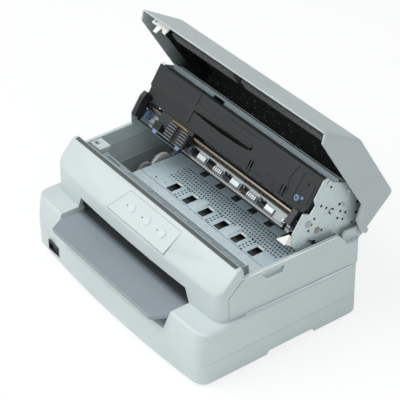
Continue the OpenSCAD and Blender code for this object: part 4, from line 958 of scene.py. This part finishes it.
# %% Backdrop
def grid_mesh(name, points, rows, cols):
    """A quad surface through rows x cols points, given row by row as an array of xyz."""
    mesh = bpy.data.meshes.new(name)
    i = np.arange((rows - 1) * (cols - 1))
    a = i // (cols - 1) * cols + i % (cols - 1)
    quads = np.stack([a, a + 1, a + cols + 1, a + cols], axis=1)
    mesh.from_pydata(np.asarray(points).reshape(-1, 3).tolist(), [], quads.tolist())
    mesh.polygons.foreach_set("use_smooth", np.ones(len(quads), dtype=bool))
    obj = bpy.data.objects.new(name, mesh)
    bpy.context.scene.collection.objects.link(obj)
    return obj


# Floor to y = 2.6, then a quarter round: y = 2.6 + 1.4 sin a, z = 1.4 - 1.4 cos a, then a wall at y = 4.
a = np.linspace(0.1, math.pi / 2, 14)
run = np.concatenate([np.linspace(-6, 2.6, 12), 2.6 + 1.4 * np.sin(a), np.full(4, 4.0)])
lift = np.concatenate([np.zeros(12), 1.4 - 1.4 * np.cos(a), np.linspace(2.2, 6, 4)])
side = np.linspace(-6, 6, 9)
gx, gy = np.meshgrid(side, run)
gz = np.meshgrid(side, lift)[1]
floor = grid_mesh("floor", np.stack([gx, gy, gz], axis=-1), len(run), len(side))
print("backdrop of", len(floor.data.polygons), "faces")

# %% Paper of the backdrop
paper = Surface("floor paper", (0.97, 0.98, 0.975), 0.9)
paper.bump(paper.noise(300.0), 0.1, 0.0002)
ray = paper.make.node("ShaderNodeLightPath", out=None)
seen = Sock(paper.tree, ray.outputs["Is Camera Ray"])
mirrored = Sock(paper.tree, ray.outputs["Is Glossy Ray"])
through = Sock(paper.tree, ray.outputs["Is Transmission Ray"])
glow = paper.make.node("ShaderNodeEmission", Color=(1.0, 1.0, 1.0, 1.0), Strength=1.0)
lit_paper = Sock(paper.tree, paper.shader.outputs[0])
share_white = (seen + through) * 0.8 + mirrored * 0.35
white = paper.make.node("ShaderNodeMixShader", i0=share_white, i1=lit_paper, i2=glow)
sink = next(n for n in paper.tree.nodes if n.type == "OUTPUT_MATERIAL")
paper.tree.links.new(white.out, sink.inputs[0])
floor.data.materials.append(paper.mat)
print(floor.name, "dressed in", paper.mat.name)

# %% Lights
def softbox(name, direction, distance, size, watts, colour=(1, 1, 1)):
    """An area light that far from the printer in that direction, and facing it."""
    data = bpy.data.lights.new(name, "AREA")
    data.shape, data.size, data.size_y = "RECTANGLE", size[0], size[1]
    data.energy, data.color = watts, colour
    obj = bpy.data.objects.new(name, data)
    aim = Vector((0, 0, 0.12))
    obj.location = aim + distance * Vector(direction).normalized()
    obj.rotation_mode = "QUATERNION"
    obj.rotation_quaternion = (aim - obj.location).to_track_quat("-Z", "Y")
    bpy.context.scene.collection.objects.link(obj)
    return obj


softbox("key", (-0.31, -0.51, 0.81), 2.5, (2.0, 2.0), 47.0, (1.0, 0.995, 0.985))
softbox("rim", (0.72, -0.12, 0.66), 2.4, (1.6, 1.6), 11.0, (0.98, 0.99, 1.0))

# %% World
world = bpy.data.worlds.new("studio")
bpy.context.scene.world = world
world.use_nodes = True
world.node_tree.nodes.clear()
w = Sock(world.node_tree)
seen = w.node("ShaderNodeLightPath", out="Is Camera Ray")
way = w.node("ShaderNodeTexCoord", out="Generated")
split = w.node("ShaderNodeSeparateXYZ", out=None, i0=way)
level = Sock(w.tree, split.outputs["Z"]) * 0.13 - Sock(w.tree, split.outputs["Y"]) * 0.09 + 0.36
lit = w.node("ShaderNodeBackground", Color=(0.93, 0.97, 1.0, 1), Strength=level)
shown = w.node("ShaderNodeBackground", Color=(1, 1, 1, 1), Strength=1.0)
both = w.node("ShaderNodeMixShader", i0=seen, i1=lit, i2=shown)
end = w.node("ShaderNodeOutputWorld", out=None)
world.node_tree.links.new(both.out, end.inputs[0])
print("world light about 0.36, brighter above and in front")

# %% [markdown]
# ## Camera
# A long lens looks down from the front right. The matrix is built from two angles, a small roll and a
# focal length, so the view can be read and changed.

# %% Camera
AZ, EL, ROLL = math.radians(54.78), math.radians(35.60), math.radians(-1.21)
FOCAL_PIXELS = 1579.5
back = Vector((math.sin(AZ) * math.cos(EL), -math.cos(AZ) * math.cos(EL), math.sin(EL)))
across = (-back).cross(Vector((0, 0, 1))).normalized()
upward = across.cross(-back)
right = across * math.cos(ROLL) + upward * math.sin(ROLL)
above = upward * math.cos(ROLL) - across * math.sin(ROLL)
lens = bpy.data.cameras.new("camera")
lens.sensor_width, lens.lens = 36.0, FOCAL_PIXELS / 400 * 36
lens.clip_start, lens.clip_end = 0.05, 60
camera = bpy.data.objects.new("camera", lens)
place = Vector(metres([1365.90, -937.45, 1313.85]))
camera.matrix_world = Matrix.Translation(place) @ Matrix((right, above, back)).transposed().to_4x4()
bpy.context.scene.collection.objects.link(camera)
bpy.context.scene.camera = camera
bpy.context.scene.view_settings.view_transform = "Standard"
print("camera at", tuple(round(v, 3) for v in place))
